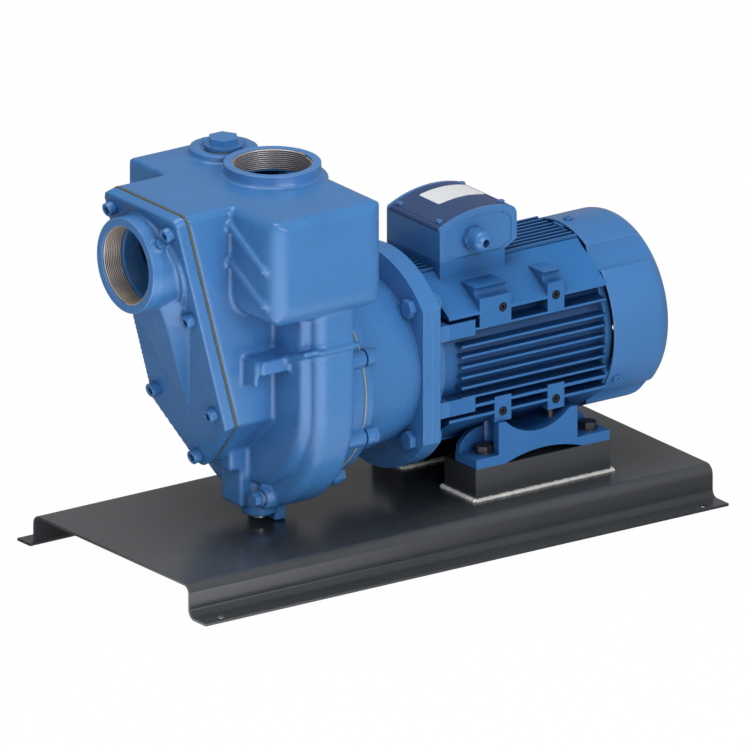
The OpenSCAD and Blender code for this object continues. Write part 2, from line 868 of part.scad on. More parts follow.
// The clamp screw, its washer plate and nut hold the rubber to the flap
module valve_nut() {
    seat = cover_inner + face_gap;
    color(steel) on_cover() {
        rod_x(seat - 3, seat, 24, 0, port_up);
        rod_x(seat - 1, seat + valve_rubber_t + valve_disc_t + 9, 5, 0, port_up);
        translate([seat + valve_rubber_t + valve_disc_t, 0, port_up]) rotate([0, 90, 0]) hexagon(17, 7);
    }
}

module cover_gasket() {
    color(fibre) on_cover() difference() {
        cover_plate(cover_inner, cover_gasket_t / 2) cover_outline();
        difference() {
            cover_plate(cover_inner - 1, cover_gasket_t) cover_outline(neck_wall);
            for (z = screw_rows, y = [-cover_screw_y, cover_screw_y]) rod_x(-5, 5, cover_boss_r, y, z);
            rod_x(-5, 5, cover_boss_r, 0, cover_tip_z);
        }
        for (z = screw_rows, y = [-cover_screw_y, cover_screw_y])
            rod_x(-5, 5, cover_screw_r + bolt_gap, y, z);
        rod_x(-5, 5, cover_screw_r + bolt_gap, 0, cover_tip_z);
    }
}

module cover_screws() {
    head = 10;
    color(cast_blue) cover_screw_sites() difference() {
        union() {
            rod_x(cover_outer - head, cover_outer, 8, 0, 0);
            rod_x(cover_outer - 1, 20, cover_screw_r, 0, 0);
        }
        translate([cover_outer - head - 1, 0, 0]) rotate([0, 90, 0]) hexagon(8, 7);
    }
}

// Fill plug and drain plug

module fill_plug() {
    seat = casing_top + fill_boss_h - 3 + 2;
    color(cast_blue) translate([fill_x, fill_y, 0]) {
        translate([0, 0, seat - 2 - fill_thread]) cylinder(h = fill_thread + 3, r = fill_thread_r);
        translate([0, 0, seat]) cylinder(h = 4, r = 21);
        translate([0, 0, seat + 3]) hexagon(fill_hex, 9);
    }
}

module fill_washer() {
    color(brass) translate([fill_x, fill_y, casing_top + fill_boss_h - 3]) difference() {
        cylinder(h = 2, r = 20.5);
        translate([0, 0, -1]) cylinder(h = 4, r = fill_thread_r + run_gap);
    }
}

module drain_plug() {
    color(cast_blue) {
        rod_x(drain_seat - 2, drain_seat + drain_thread, drain_thread_r, -drain_y, drain_z);
        rod_x(drain_seat - 4.5, drain_seat - 1.5, 9.5, -drain_y, drain_z);
        translate([drain_seat - 11.5, -drain_y, drain_z]) rotate([0, 90, 0]) hexagon(drain_hex, 7.5);
    }
}

module drain_washer() {
    color(brass) difference() {
        rod_x(drain_seat - 1.5, drain_seat, 9.2, -drain_y, drain_z);
        rod_x(drain_seat - 3, drain_seat + 1, drain_thread_r + run_gap, -drain_y, drain_z);
    }
}

// Impeller and wear plate

module wear_screw_sites() {
    for (a = [30, 150, 270]) translate([0, 0, axis_z]) rotate([a, 0, 0]) translate([0, 58, 0]) children();
}

module wear_plate() {
    color(steel) difference() {
        disc(chamber_front, wear_back, impeller_r + 8, eye_r);
        wear_screw_sites() rod_x(chamber_front - 1, wear_back + 1, 2.5 + bolt_gap, 0, 0);
        wear_screw_sites() rod_x(wear_back - 3, wear_back + 1, 5, 0, 0);
    }
}

module wear_screws() {
    color(steel) wear_screw_sites() {
        rod_x(chamber_front - 5, wear_back - 2.9, 2.5, 0, 0);
        rod_x(wear_back - 2.9, wear_back - 0.3, 4.7, 0, 0);
    }
}

// A vane's centre line: the angle grows as the radius grows, as in a spiral
function vane_point(u, side) =
    let (r = vane_r0 * pow(impeller_r / vane_r0, u), a = vane_sweep * u, w = side * vane_t / 2)
    [r * cos(a) - w * sin(a - 40), r * sin(a) + w * cos(a - 40)];

module vane_outline() {
    steps = 14;
    intersection() {
        polygon(concat(
            [for (k = [0:steps]) vane_point(k / steps, 1)],
            [for (k = [steps:-1:0]) vane_point(k / steps, -1)]
        ));
        circle(impeller_r - 1, $fn = 96);
    }
}

module impeller() {
    color(cast_blue) difference() {
        union() {
            disc(shroud_front, shroud_x, impeller_r);
            turned() polygon([
                [stub_r, hub_x0], [18, hub_x0], [24, shroud_front], [24, hub_x1], [stub_r, hub_x1]
            ]);
            along(vane_front, shroud_front + 1) for (k = [0:vane_n - 1]) rotate(k * 360 / vane_n) vane_outline();
        }
        disc(hub_x0 - 1, hub_x1 + 1, stub_r + run_gap);
        key_slot(stub_r, bolt_gap / 2);
    }
}

// The keyway under the impeller, shared by shaft, key and impeller
module key_slot(r, gap) {
    translate([shroud_front - 18 - gap, -4 - gap, axis_z + r - 4 - gap])
        cube([26 + 2 * gap, 8 + 2 * gap, 7 + 2 * gap]);
}

module impeller_nut() {
    color(steel) difference() {
        union() {
            rod_x(hub_x0 - 3, hub_x0, 17.5, 0, axis_z);
            translate([hub_x0 - 15, 0, axis_z]) rotate([0, 90, 0]) hexagon(24, 12.1);
        }
        rod_x(hub_x0 - 12, hub_x0 + 1, 8 + run_gap, 0, axis_z);
    }
}

module stub_shaft() {
    color(steel) difference() {
        union() {
            disc(hub_x0, -64, stub_r);
            rod_x(hub_x0 - 11, hub_x0 + 1, 8, 0, axis_z);
            disc(-64, stub_end, 22);
        }
        disc(-50, stub_end + 1, bearing_r - 1 + run_gap);
        key_slot(stub_r, bolt_gap / 2);
        translate([-46, -4.1, axis_z + 9]) cube([60, 8.2, 8.2]);
        stub_screw_sites() cylinder(h = 30, r = 4 + bolt_gap);
    }
}

module stub_screw_sites() {
    for (x = [-38, -18]) translate([x, 0, axis_z]) rotate([90, 0, 0]) children();
}

module stub_screws() {
    color(dark_steel) stub_screw_sites() translate([0, 0, bearing_r - 1 + run_gap]) cylinder(h = 7, r = 4);
}

// One key under the impeller, one between the motor shaft and the stub shaft
module shaft_keys() {
    color(steel) {
        key_slot(stub_r, 0);
        translate([-46, -4, axis_z + 10]) cube([46, 8, 7]);
    }
}

// Mechanical seal

module seal_seat() {
    color([0.85, 0.83, 0.78]) disc(joint_x + 6, joint_x + 15.9, 23, stub_r + 0.6);
}

module seal_ring() {
    color(dark_steel) disc(joint_x + 1, joint_x + 5.95, 21, stub_r + 0.02);
}

// The seal's coil spring, swept round the shaft
module seal_spring() {
    turns = 4;
    coil_r = 17.6;
    wire = 1.3;
    sides = 6;
    per_turn = 16;
    x0 = hub_x1 + wire;
    x1 = joint_x + 1 - wire;
    last = turns * per_turn;
    pts = [for (k = [0:last], j = [0:sides - 1])
        let (a = k * 360 / per_turn, b = j * 360 / sides, r = coil_r + wire * cos(b))
        [x0 + (x1 - x0) * k / last + wire * sin(b), r * cos(a), axis_z + r * sin(a)]];
    walls = [for (k = [0:last - 1], j = [0:sides - 1])
        let (n = (j + 1) % sides)
        [k * sides + j, k * sides + n, (k + 1) * sides + n, (k + 1) * sides + j]];
    color(steel) polyhedron(
        points = pts,
        faces = concat(walls, [[for (j = [sides - 1:-1:0]) j]], [[for (j = [0:sides - 1]) last * sides + j]])
    );
}

// Lantern between pump and motor

module flange_sites() {
    for (a = [45:90:315]) translate([0, 0, axis_z]) rotate([a, 0, 0]) translate([0, flange_bolt_pr, 0]) children();
}

// A round flange with a flat on each side
module flange_disc(x0, x1) {
    intersection() {
        disc(x0, x1, flange_r);
        translate([x0 - 1, -flange_flat, 0]) cube([x1 - x0 + 2, 2 * flange_flat, far]);
    }
}

module lantern() {
    rear = motor_joint_x - lantern_flange_t;
    color(cast_blue) difference() {
        union() {
            flange_disc(rear, motor_joint_x);
            turned() polygon([[0, joint_x + 1], [lantern_r0, joint_x + 1], [lantern_r0, joint_x + 10],
                [lantern_r1, rear], [lantern_r1, rear + 1], [0, rear + 1]]);
            along(joint_x + joint_t, joint_x + 10) joint_outline();
            disc(shroud_x + 6, joint_x + 1, rear_bore_r - face_gap);
        }
        difference() {
            turned() polygon([[0, joint_x + 12], [lantern_r0 - 10, joint_x + 12], [lantern_r1 - 9, rear - 2],
                [lantern_r1 - 9, motor_joint_x + 1], [0, motor_joint_x + 1]]);
            disc(joint_x + 1, joint_x + 25, 34);
        }
        disc(motor_joint_x - 5, motor_joint_x + 1, 90);
        disc(shroud_x + 5, joint_x + 6, 32);
        disc(joint_x + 5, joint_x + 16, 23.02);
        disc(joint_x + 15, joint_x + 26, 20);
        flange_sites() rod_x(rear - 1, motor_joint_x + 1, flange_bolt_d + bolt_gap, 0, 0);
        lantern_bolt_sites() rod_x(joint_x - 1, joint_x + 11, lantern_bolt_d + bolt_gap, 0, 0);
        translate([-50, 0, 90]) cylinder(h = 20, r = 8);
    }
}

module lantern_gasket() {
    color([0.85, 0.82, 0.55]) difference() {
        disc(joint_x, joint_x + joint_t, joint_r, rear_bore_r + 1);
        lantern_bolt_sites() rod_x(joint_x - 1, joint_x + 2, lantern_bolt_d + bolt_gap, 0, 0);
    }
}

module lantern_bolts() {
    color(cast_blue) lantern_bolt_sites() {
        rod_x(joint_x - 18, joint_x + 11, lantern_bolt_d, 0, 0);
        translate([joint_x + 10, 0, 0]) rotate([0, 90, 0]) hexagon(16, 7);
    }
}

module flange_bolts() {
    head = motor_joint_x - lantern_flange_t;
    color(cast_blue) flange_sites() {
        translate([head - 7.5, 0, 0]) rotate([0, 90, 0]) hexagon(19, 7.5);
        rod_x(head - 1, motor_flange_back + 14, flange_bolt_d, 0, 0);
    }
}

module flange_nuts() {
    color(cast_blue) flange_sites() difference() {
        translate([motor_flange_back, 0, 0]) rotate([0, 90, 0]) hexagon(19, 11);
        rod_x(motor_flange_back - 1, motor_flange_back + 12, flange_bolt_d + bolt_gap / 2, 0, 0);
    }
}

// Motor flange with the front bearing

module motor_flange() {
    color(cast_blue) difference() {
        union() {
            flange_disc(motor_joint_x, motor_flange_back);
            disc(motor_joint_x - 4, motor_joint_x + 1, 90 - run_gap);
            disc(motor_flange_back - 1, frame_x0, 86);
            disc(frame_x0 - 1, frame_x0 + 8, frame_bore - 0.05, bearing_ro + 4);
            disc(motor_flange_back, bearing_x0 + bearing_w + 2, bearing_ro + 8);
            corner_blocks(motor_flange_back - 1, frame_x0);
        }
        difference() {
            disc(motor_flange_back + 8, frame_x0 + 9, frame_bore - 8);
            disc(motor_flange_back, bearing_x0 + bearing_w + 2, bearing_ro + 8);
        }
        disc(bearing_x0, bearing_x0 + bearing_w + 3, bearing_ro + 0.02);
        disc(motor_joint_x - 5, bearing_x0 + 1, bearing_r + 2);
        flange_sites() rod_x(motor_joint_x - 1, motor_flange_back + 1, flange_bolt_d + bolt_gap, 0, 0);
        shield_screw_sites() {
            rod_x(motor_joint_x - 1, frame_x0 + 1, 3 + bolt_gap, 0, 0);
            rod_x(motor_joint_x - 1, motor_joint_x + 7, 5.7, 0, 0);
        }
    }
}

// Four blocks at the corners, where the flange is screwed to the frame
module corner_blocks(x0, x1) {
    for (y = [-1, 1], z = [-1, 1])
        translate([x0, y * (fin_reach - 9) - 9, axis_z + z * 44 - 9]) cube([x1 - x0, 18, 18]);
}

module shield_screw_sites() {
    for (y = [-1, 1], z = [-1, 1]) translate([0, y * (fin_reach - 9), axis_z + z * 44]) children();
}

module shield_screws() {
    color(dark_steel) shield_screw_sites() difference() {
        union() {
            rod_x(motor_joint_x + 1, motor_joint_x + 7, 5.4, 0, 0);
            rod_x(motor_joint_x + 6, frame_x0 + 24, 3, 0, 0);
        }
        translate([motor_joint_x, 0, 0]) rotate([0, 90, 0]) hexagon(5, 4);
    }
}

// Motor frame

// One fin's section: thin at the tip, thick at the root, standing along +Y
module fin_section(root, tip) {
    polygon([[root, -fin_root / 2], [tip, -fin_tip / 2], [tip, fin_tip / 2], [root, fin_root / 2]]);
}

module frame_section() {
    difference() {
        circle(frame_r, $fn = 96);
        circle(frame_bore, $fn = 96);
    }
    for (s = [0, 1]) mirror([s, 0]) {
        for (z = side_fin_rows) translate([0, z])
            fin_section(sqrt(frame_r * frame_r - z * z) - 3, fin_reach);
        for (z = [upper_fin, -pad_rise + 13.5]) translate([0, z])
            fin_section(sqrt(frame_r * frame_r - z * z) - 3, fin_reach);
        corner_panel();
        mirror([0, 1]) corner_panel();
    }
    for (k = [-4:4], s = [0, 1]) mirror([0, s]) rotate(90) translate([0, k * top_fin_pitch])
        fin_section(sqrt(frame_r * frame_r - pow(k * top_fin_pitch, 2)) - 3, fin_top);
}

// The slanting panel between the side fins and the top fins
module corner_panel() {
    polygon([[panel_in - 3, panel_top + 3], [panel_in, panel_top], [fin_reach, panel_out], [fin_reach, panel_out - 3],
        [62, panel_out - 3], [panel_in - 4, 72]]);
}

// Profile of an upper pad: flat top, S-shaped front and upright face
module upper_pad_section() {
    difference() {
        translate([-fin_reach, upper_fin]) square([fin_reach - 50, 44]);
        translate([-fin_reach - 1, 74.5]) square([12.3 - 5.6, 20]);
        translate([-fin_reach + 5.7, 74.5 + 5.6]) circle(5.6);
    }
}

module pads() {
    along(77, pad_x[0] + pad_w) upper_pad_section();
    along(pad_x[1], pad_x[1] + pad_w) upper_pad_section();
    for (x = pad_x) along(x, x + pad_w) {
        polygon([[-fin_reach, -42], [-70, -42], [-60, saddle_z - axis_z], [-fin_reach, saddle_z - axis_z]]);
        polygon([[fin_reach, -42], [70, -42], [60, saddle_z - axis_z], [fin_reach, saddle_z - axis_z]]);
        mirror([1, 0]) upper_pad_section();
    }
}

module pad_screw_sites() {
    for (x = pad_screw_x, z = [-pad_rise, pad_rise]) mirror_y() translate([x, -fin_reach, axis_z + z]) children();
}

module motor_frame() {
    color(cast_blue) difference() {
        union() {
            along(frame_x0, frame_x1) frame_section();
            pads();
            corner_blocks(frame_x0, frame_x0 + 35);
            translate([box_x0, -box_half, axis_z + 74]) cube([87, 2 * box_half, box_z - axis_z - 74]);
        }
        disc(frame_x0 - 1, frame_x1 + 1, frame_bore);
        difference() {
            translate([frame_x0 - 1, -far / 2, axis_z - 50]) cube([18, far, 94]);
            disc(frame_x0 - 2, frame_x0 + 20, frame_r);
            corner_blocks(frame_x0 - 2, frame_x0 + 35);
        }
        shield_screw_sites() rod_x(frame_x0 - 1, frame_x0 + 26, 3 + bolt_gap, 0, 0);
        lead_hole();
        pad_screw_sites() translate([0, 12, 0]) rotate([90, 0, 0]) {
            cylinder(h = 20, r = 3 + bolt_gap);
            translate([0, 0, 10]) cylinder(h = 10, r = 5.4);
        }
        foot_screw_sites() translate([0, 0, -1]) cylinder(h = foot_screw_in + 2, r = 4 + bolt_gap);
    }
}

// The way for the leads from the winding up into the terminal box
module lead_hole() {
    translate([box_mid - 8, 0, axis_z]) cylinder(h = 200, r = 14);
}

module pad_screws() {
    color(dark_steel) pad_screw_sites() translate([0, 12, 0]) rotate([90, 0, 0]) difference() {
        union() {
            cylinder(h = 11, r = 3);
            translate([0, 0, 10.2]) cylinder(h = 1.6, r = 4.2);
        }
        translate([0, 0, 8]) hexagon(4, 5);
    }
}

// Electrical core

module stator_core() {
    color(laminate) difference() {
        disc(core_x0, core_x1, frame_bore - 0.02);
        disc(core_x0 - 1, core_x1 + 1, rotor_r + air_gap);
    }
}

module stator_winding() {
    color(copper) for (x = [core_x0 - 24, core_x1])
        turned() soft_rect(rotor_r + 5, x, frame_bore - 5, x + 24, 5, 5);
}

module rotor_core() {
    color(laminate) {
        disc(core_x0, core_x1, rotor_r, shaft_r + 0.02);
        disc(core_x0 - 10, core_x1 + 10, rotor_r - 2, rotor_r - 14);
        for (a = [0:45:315]) translate([0, 0, axis_z]) rotate([a, 0, 0])
            translate([core_x0 - 19, rotor_r - 13, -1.5]) cube([core_x1 - core_x0 + 38, 9, 3]);
    }
}

module motor_shaft() {
    color(steel) difference() {
        union() {
            disc(-49, 1, bearing_r - 1);
            disc(1, bearing_x0 + bearing_w, bearing_r);
            disc(bearing_x0 + bearing_w, bearing_x1, shaft_r);
            disc(bearing_x1, bearing_x1 + bearing_w + 4, bearing_r);
            disc(bearing_x1 + bearing_w + 4, 312, 10);
        }
        translate([-46, -4.1, axis_z + 9.9]) cube([46.1, 8.2, 8]);
    }
}

module bearing_at(ro, ri) {
    for (x = [bearing_x0, bearing_x1]) disc(x + 0.05, x + bearing_w - 0.05, ro, ri);
}

function ball_path() = (bearing_r + bearing_ro) / 2;
ball_r = 4.4;

module ball_groove(r) {
    for (x = [bearing_x0, bearing_x1]) turned() translate([ball_path(), x + bearing_w / 2]) circle(r);
}

module bearing_outers() {
    color(steel) difference() {
        bearing_at(bearing_ro, ball_path() + 2.6);
        ball_groove(ball_r + run_gap);
    }
}

module bearing_inners() {
    color(steel) difference() {
        bearing_at(ball_path() - 2.6, bearing_r + 0.01);
        ball_groove(ball_r + run_gap);
    }
}

module bearing_balls() {
    color(steel) for (x = [bearing_x0, bearing_x1], k = [0:ball_n - 1])
        translate([x + bearing_w / 2, 0, axis_z]) rotate([k * 360 / ball_n, 0, 0])
            translate([0, ball_path(), 0]) sphere(ball_r, $fn = 32);
}

module wave_spring() {
    color(steel) disc(bearing_x1 + bearing_w, bearing_x1 + bearing_w + 1.5, bearing_ro - 1, bearing_ro - 5);
}

// Rear shield, fan and fan cover

module hood_screw_sites() {
    for (a = hood_screw_a) translate([hood_screw_x, 0, axis_z]) rotate([a, 0, 0]) rotate([-90, 0, 0]) children();
}

module rear_shield() {
    color(cast_blue) difference() {
        union() {
            disc(frame_x1, frame_x1 + 8, shield_r);
            disc(frame_x1 - 6, frame_x1 + 1, frame_bore - 0.05, frame_bore - 8);
            disc(frame_x1 - 4, bearing_x1 + bearing_w + 6, bearing_ro + 7);
            for (a = hood_screw_a) translate([0, 0, axis_z]) rotate([a, 0, 0])
                translate([frame_x1, shield_r - 8, -8]) cube([24, hood_r - hood_t - shield_r + 7.5, 16]);
        }
        disc(frame_x1 - 5, bearing_x1 + bearing_w + 1.6, bearing_ro + 0.02);
        disc(frame_x1, frame_x1 + 40, bearing_r + 2);
        hood_screw_sites() translate([0, 0, shield_r - 4]) cylinder(h = 20, r = 2.5 + bolt_gap);
    }
}

module fan() {
    bore = 10;
    color(rubber) {
        disc(fan_x0, fan_x0 + 26, 18, bore + 0.02);
        disc(fan_x0, fan_x0 + 3, 60, 17);
        for (k = [0:fan_n - 1]) translate([0, 0, axis_z]) rotate([k * 360 / fan_n, 0, 0])
            translate([fan_x0, 17, -1.5]) cube([26, fan_r - 17, 3]);
    }
}

// Profile of the fan cover for one surface: straight, then a round shoulder
module hood_profile(r, x_end, round) {
    translate([0, hood_x0]) square([r, x_end - round - hood_x0]);
    translate([0, hood_x0]) square([r - round, x_end - hood_x0]);
    translate([r - round, x_end - round]) circle(round);
}

module hood_channels(grow) {
    for (a = [channel_a, 180 - channel_a, 180 + channel_a, 360 - channel_a])
        translate([0, 0, axis_z]) rotate([a, 0, 0])
            rod_x(hood_x0 - 20, hood_x1 + 5, channel_r + grow, hood_r - channel_d + channel_r, 0);
}

// Air slots: rings of curved slots between spokes
module grille_section() {
    difference() {
        for (r = [26:10:76]) difference() {
            circle(r + 6, $fn = 72);
            circle(r, $fn = 72);
        }
        for (a = [0:30:150]) rotate(a) translate([-hood_r, -2.2]) square([2 * hood_r, 4.4]);
    }
}

module fan_cover() {
    color(cast_blue) difference() {
        difference() {
            turned() intersection() {
                hood_profile(hood_r, hood_x1, hood_round);
                translate([0, hood_x0]) square([hood_r, far]);
            }
            hood_channels(0);
        }
        difference() {
            turned() intersection() {
                translate([0, -1]) hood_profile(hood_r - hood_t, hood_x1 - hood_t + 1, hood_round - hood_t);
                translate([0, hood_x0 - 1]) square([hood_r, far]);
            }
            hood_channels(hood_t);
        }
        along(hood_x1 - hood_t - 1, hood_x1 + 1) grille_section();
        hood_screw_sites() translate([0, 0, hood_r - 10]) cylinder(h = 20, r = 2.5 + bolt_gap);
    }
}

module fan_cover_screws() {
    color(cast_blue) hood_screw_sites() {
        translate([0, 0, hood_r - 10]) cylinder(h = 11, r = 2.5);
        difference() {
            translate([0, 0, hood_r + 0.05]) cylinder(h = 3, r = 5);
            translate([0, 0, hood_r + 1.5]) hexagon(4, 3);
        }
    }
}

// Terminal box

// Height of the arched top at a place along the shaft
function arch_z(x) = box_crown - box_arch + sqrt(box_arch * box_arch - pow(x - box_peak, 2));

module arch_disc(inset = 0) {
    translate([box_peak, box_crown - box_arch]) circle(box_arch - inset, $fn = 180);
}

// The box's end wall: upright sides under an arch, the lower rear corner cut back
module box_outline(inset = 0) {
    x1 = box_x1 - inset;
    difference() {
        intersection() {
            translate([box_x0 + inset, box_z]) square([x1 - box_x0 - inset, 80]);
            arch_disc(inset);
        }
        translate([x1, box_z]) polygon([[1, -1], [1, 8], [0, 8], [-15, 0], [-15, -1]]);
        corner_cut(x1, arch_z(box_x1) - inset + 3, 12, 180);
        corner_cut(box_x0 + inset, arch_z(box_x0) - inset + 2, 5, 270);
    }
}

module terminal_box() {
    color(cast_blue) difference() {
        across(-box_half, box_half) box_outline();
        across(-box_half + box_wall, box_half - box_wall) difference() {
            translate([box_x0 + box_wall, box_z + box_wall]) square([box_x1 - box_x0 - 2 * box_wall, 80]);
            translate([box_x1 - 24, box_z - 10]) square([24, 24]);
        }
        across(-box_half + box_wall - e, box_half - box_wall + e) difference() {
            translate([box_x0 - 1, box_z + 20]) square([110, 80]);
            arch_disc(lid_t);
        }
        across(-box_half - 1, -box_half + 1.2) difference() {
            box_outline(7);
            translate([box_x0, box_z - 1]) square([20, 3]);
        }
        translate([box_mid - 8, 0, box_z - 1]) cylinder(h = 10, r = 14);
        rod_y(-box_half - 1, -box_half + box_wall + 1, 10 + bolt_gap, gland_x, gland_z);
    }
    color(cast_blue) lid_posts();
}

// Two posts inside the box take the lid screws
module lid_posts() {
    for (p = lid_screw_places) difference() {
        translate([p[0], p[1], box_z + box_wall - e]) cylinder(h = p[2] - box_z - box_wall - 8, r = 4.6);
        translate([p[0], p[1], p[2] - 20]) cylinder(h = 30, r = 2 + bolt_gap);
    }
}

// Places of the lid screws: along, across and the height of the lid there
lid_screw_places = [for (x = [box_x0 + 9, box_x1 - 12], y = [-lid_screw_y + 4, lid_screw_y - 4])
    [x, y, arch_z(x)]];

module terminal_lid() {
    gap = 0.1;
    color(lid_navy) difference() {
        across(-box_half + box_wall + gap, box_half - box_wall - gap) difference() {
            box_outline();
            arch_disc(lid_t - gap);
            translate([box_x0 - 1, box_z - 1]) square([110, 26]);
        }
        for (p = lid_screw_places) translate([p[0], p[1], p[2] - 20]) cylinder(h = 40, r = 2 + bolt_gap);
        for (p = lid_screw_places) translate([p[0], p[1], p[2] - 1.2]) cylinder(h = 40, r = 4.4);
    }
}

module lid_screws() {
    color(cast_blue) for (p = lid_screw_places) translate([p[0], p[1], p[2] - 1.1]) {
        translate([0, 0, -14]) cylinder(h = 15, r = 2);
        difference() {
            translate([0, 0, 0]) cylinder(h = 3, r = 4);
            translate([-5, -0.6, 2]) cube([10, 1.2, 2]);
        }
    }
}

module terminal_board() {
    color([0.45, 0.2, 0.12]) difference() {
        translate([box_mid - board_half, 10, box_z + box_wall]) cube([2 * board_half, 30, 8]);
        stud_sites() translate([0, 0, -10]) cylinder(h = 30, r = 2.2);
    }
}

module stud_sites() {
    for (x = [-18, 0, 18], y = [17, 33]) translate([box_mid + x, y, box_z + box_wall]) children();
}

module terminal_studs() {
    color(brass) stud_sites() {
        translate([0, 0, 0.2]) cylinder(h = 18, r = 2);
        translate([0, 0, 8]) hexagon(7, 3.5);
    }
}

module gland_site() {
    translate([gland_x, -box_half + 1.2, gland_z]) rotate([90, 0, 0]) children();
}

module gland_body() {
    color(cast_blue) gland_site() difference() {
        union() {
            translate([0, 0, -box_wall - 3]) cylinder(h = box_wall + 4, r = 10);
            hexagon(gland_hex, 9);
            translate([0, 0, 8]) cylinder(h = 7, r = 9);
        }
        translate([0, 0, -20]) cylinder(h = 40, r = gland_bore_r + 2);
    }
}

module gland_nut() {
    color(cast_blue) gland_site() difference() {
        union() {
            translate([0, 0, 9.1]) cylinder(h = 11, r = 12);
            translate([0, 0, 20.1]) intersection() {
                cylinder(h = 7, r = 12);
                translate([0, 0, -5]) sphere(13);
            }
        }
        translate([0, 0, 8]) cylinder(h = 7.2, r = 9 + bolt_gap);
        translate([0, 0, 8]) cylinder(h = 40, r = gland_bore_r);
    }
}

// Motor feet

module foot_bolt_sites() {
    for (x = [-1, 1]) translate([riser_mid + x * foot_bolt_x / 2 + 4, -foot_bolt_y / 2, seat_z]) children();
}

module foot_screw_sites() {
    for (x = pad_screw_x) mirror_y() translate([x, -82, saddle_z]) children();
}

// The foot's saddle in section: upright outside leaning in to the frame's pads
module saddle_section() {
    z0 = seat_z - axis_z;
    z1 = saddle_z - axis_z;
    difference() {
        translate([-riser_y, z0]) square([44, z1 - z0]);
        translate([-riser_y - 30, z1 + 6]) rotate(-12) translate([0, -60]) square([28, 80]);
    }
}

module foot() {
    difference() {
        union() {
            translate([foot_x0, -riser_y, seat_z]) cube([foot_x1 - foot_x0, 40, foot_t]);
            along(saddle_x0, saddle_x1) saddle_section();
            for (x = [saddle_x0, saddle_x1 + 3]) intersection() {
                rod_y(-66, -59, 34, x, seat_z + 2);
                translate([foot_x0, -far / 2, seat_z]) cube([foot_x1 - foot_x0, far, 40]);
            }
        }
        rod_y(-riser_y - 5, -40, 60, riser_mid - 7, saddle_z + 42);
        rod_y(-riser_y - 5, -40, 150, riser_mid + 2, seat_z - 141);
        foot_bolt_sites() translate([0, 0, -1]) cylinder(h = foot_t + 2, r = foot_bolt_r + bolt_gap);
        foot_bolt_sites() translate([0, 0, foot_t]) cylinder(h = 40, r = 11);
        foot_screw_sites() translate([0, 0, -60]) cylinder(h = 80, r = 4 + bolt_gap);
        foot_screw_sites() translate([0, 0, seat_z - saddle_z - 1]) cylinder(h = 22, r = 8);
        disc(foot_x0 - 1, foot_x1 + 1, frame_r + 4);
        along(foot_x0 - 1, foot_x1 + 1) panel_room();
    }
}

// The room that the frame's slanting lower panel needs above the foot
module panel_room() {
    gap = 2 * face_gap;
    polygon([[-fin_reach - gap, 0], [-fin_reach - gap, -panel_out - gap], [-panel_in, -panel_top - gap], [0, -panel_top], [0, 0]]);
}

module foot_near() color(cast_blue) foot();

module foot_far() color(cast_blue) mirror([0, 1, 0]) foot();

module foot_screws() {
    color(dark_steel) foot_screw_sites() {
        translate([0, 0, seat_z + 21 - saddle_z - 8]) cylinder(h = 8, r = 6.5);
        translate([0, 0, seat_z + 20 - saddle_z]) cylinder(h = saddle_z - seat_z - 20 + foot_screw_in, r = 4);
    }
}

module foot_bolts() {
    color(dark_steel) mirror_y() foot_bolt_sites() {
        translate([0, 0, foot_t + 1.6]) hexagon(17, 7);
        translate([0, 0, foot_t]) cylinder(h = 1.7, r = 10);
        translate([0, 0, -riser_t]) cylinder(h = riser_t + foot_t + 1, r = foot_bolt_r);
    }
}

base_plate();
riser_near();
riser_far();
weld_beads();
pump_casing();
suction_cover();
cover_gasket();
cover_screws();
gauge_plug();
valve_pin();
valve_flap();
valve_rubber();
valve_nut();
fill_plug();
fill_washer();
drain_plug();
drain_washer();
sump_plug();
wear_plate();
wear_screws();
impeller();
impeller_nut();
stub_shaft();
stub_screws();
seal_seat();
seal_ring();
seal_spring();
lantern();
lantern_gasket();
lantern_bolts();
flange_bolts();
flange_nuts();
motor_flange();
motor_frame();
stator_core();
stator_winding();
rotor_core();
motor_shaft();
shaft_keys();
bearing_outers();
bearing_inners();
bearing_balls();
wave_spring();
rear_shield();
shield_screws();
fan();
fan_cover();
fan_cover_screws();
terminal_box();
terminal_lid();
lid_screws();
terminal_board();
terminal_studs();
gland_body();
gland_nut();
foot_near();
foot_far();
foot_screws();
foot_bolts();
pad_screws();
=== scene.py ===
import math
import bpy
import bmesh
from mathutils import Matrix, Vector
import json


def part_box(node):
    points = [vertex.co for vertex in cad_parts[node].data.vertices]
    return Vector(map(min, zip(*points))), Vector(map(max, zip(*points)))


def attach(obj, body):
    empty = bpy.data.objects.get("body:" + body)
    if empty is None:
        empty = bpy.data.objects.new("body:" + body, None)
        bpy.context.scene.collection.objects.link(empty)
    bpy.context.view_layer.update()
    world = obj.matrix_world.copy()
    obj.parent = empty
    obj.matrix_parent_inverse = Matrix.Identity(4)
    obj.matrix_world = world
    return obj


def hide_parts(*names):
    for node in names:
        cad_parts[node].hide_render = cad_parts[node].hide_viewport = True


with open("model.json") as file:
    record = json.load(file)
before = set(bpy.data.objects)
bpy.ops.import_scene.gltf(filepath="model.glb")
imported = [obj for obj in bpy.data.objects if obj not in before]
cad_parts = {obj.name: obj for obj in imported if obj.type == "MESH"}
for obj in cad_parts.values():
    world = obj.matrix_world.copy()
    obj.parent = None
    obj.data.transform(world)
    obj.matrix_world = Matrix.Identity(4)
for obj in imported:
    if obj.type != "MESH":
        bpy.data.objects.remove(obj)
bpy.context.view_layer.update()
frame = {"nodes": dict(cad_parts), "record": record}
nodes = frame["nodes"]
scene = bpy.context.scene
scene.view_settings.view_transform = "Standard"
mm = 0.001
print("frame loaded,", len(nodes), "nodes")


def srgb(r, g, b):
    def linear(c):
        c /= 255
        return c / 12.92 if c <= 0.04045 else ((c + 0.055) / 1.055) ** 2.4
    return (linear(r), linear(g), linear(b), 1.0)


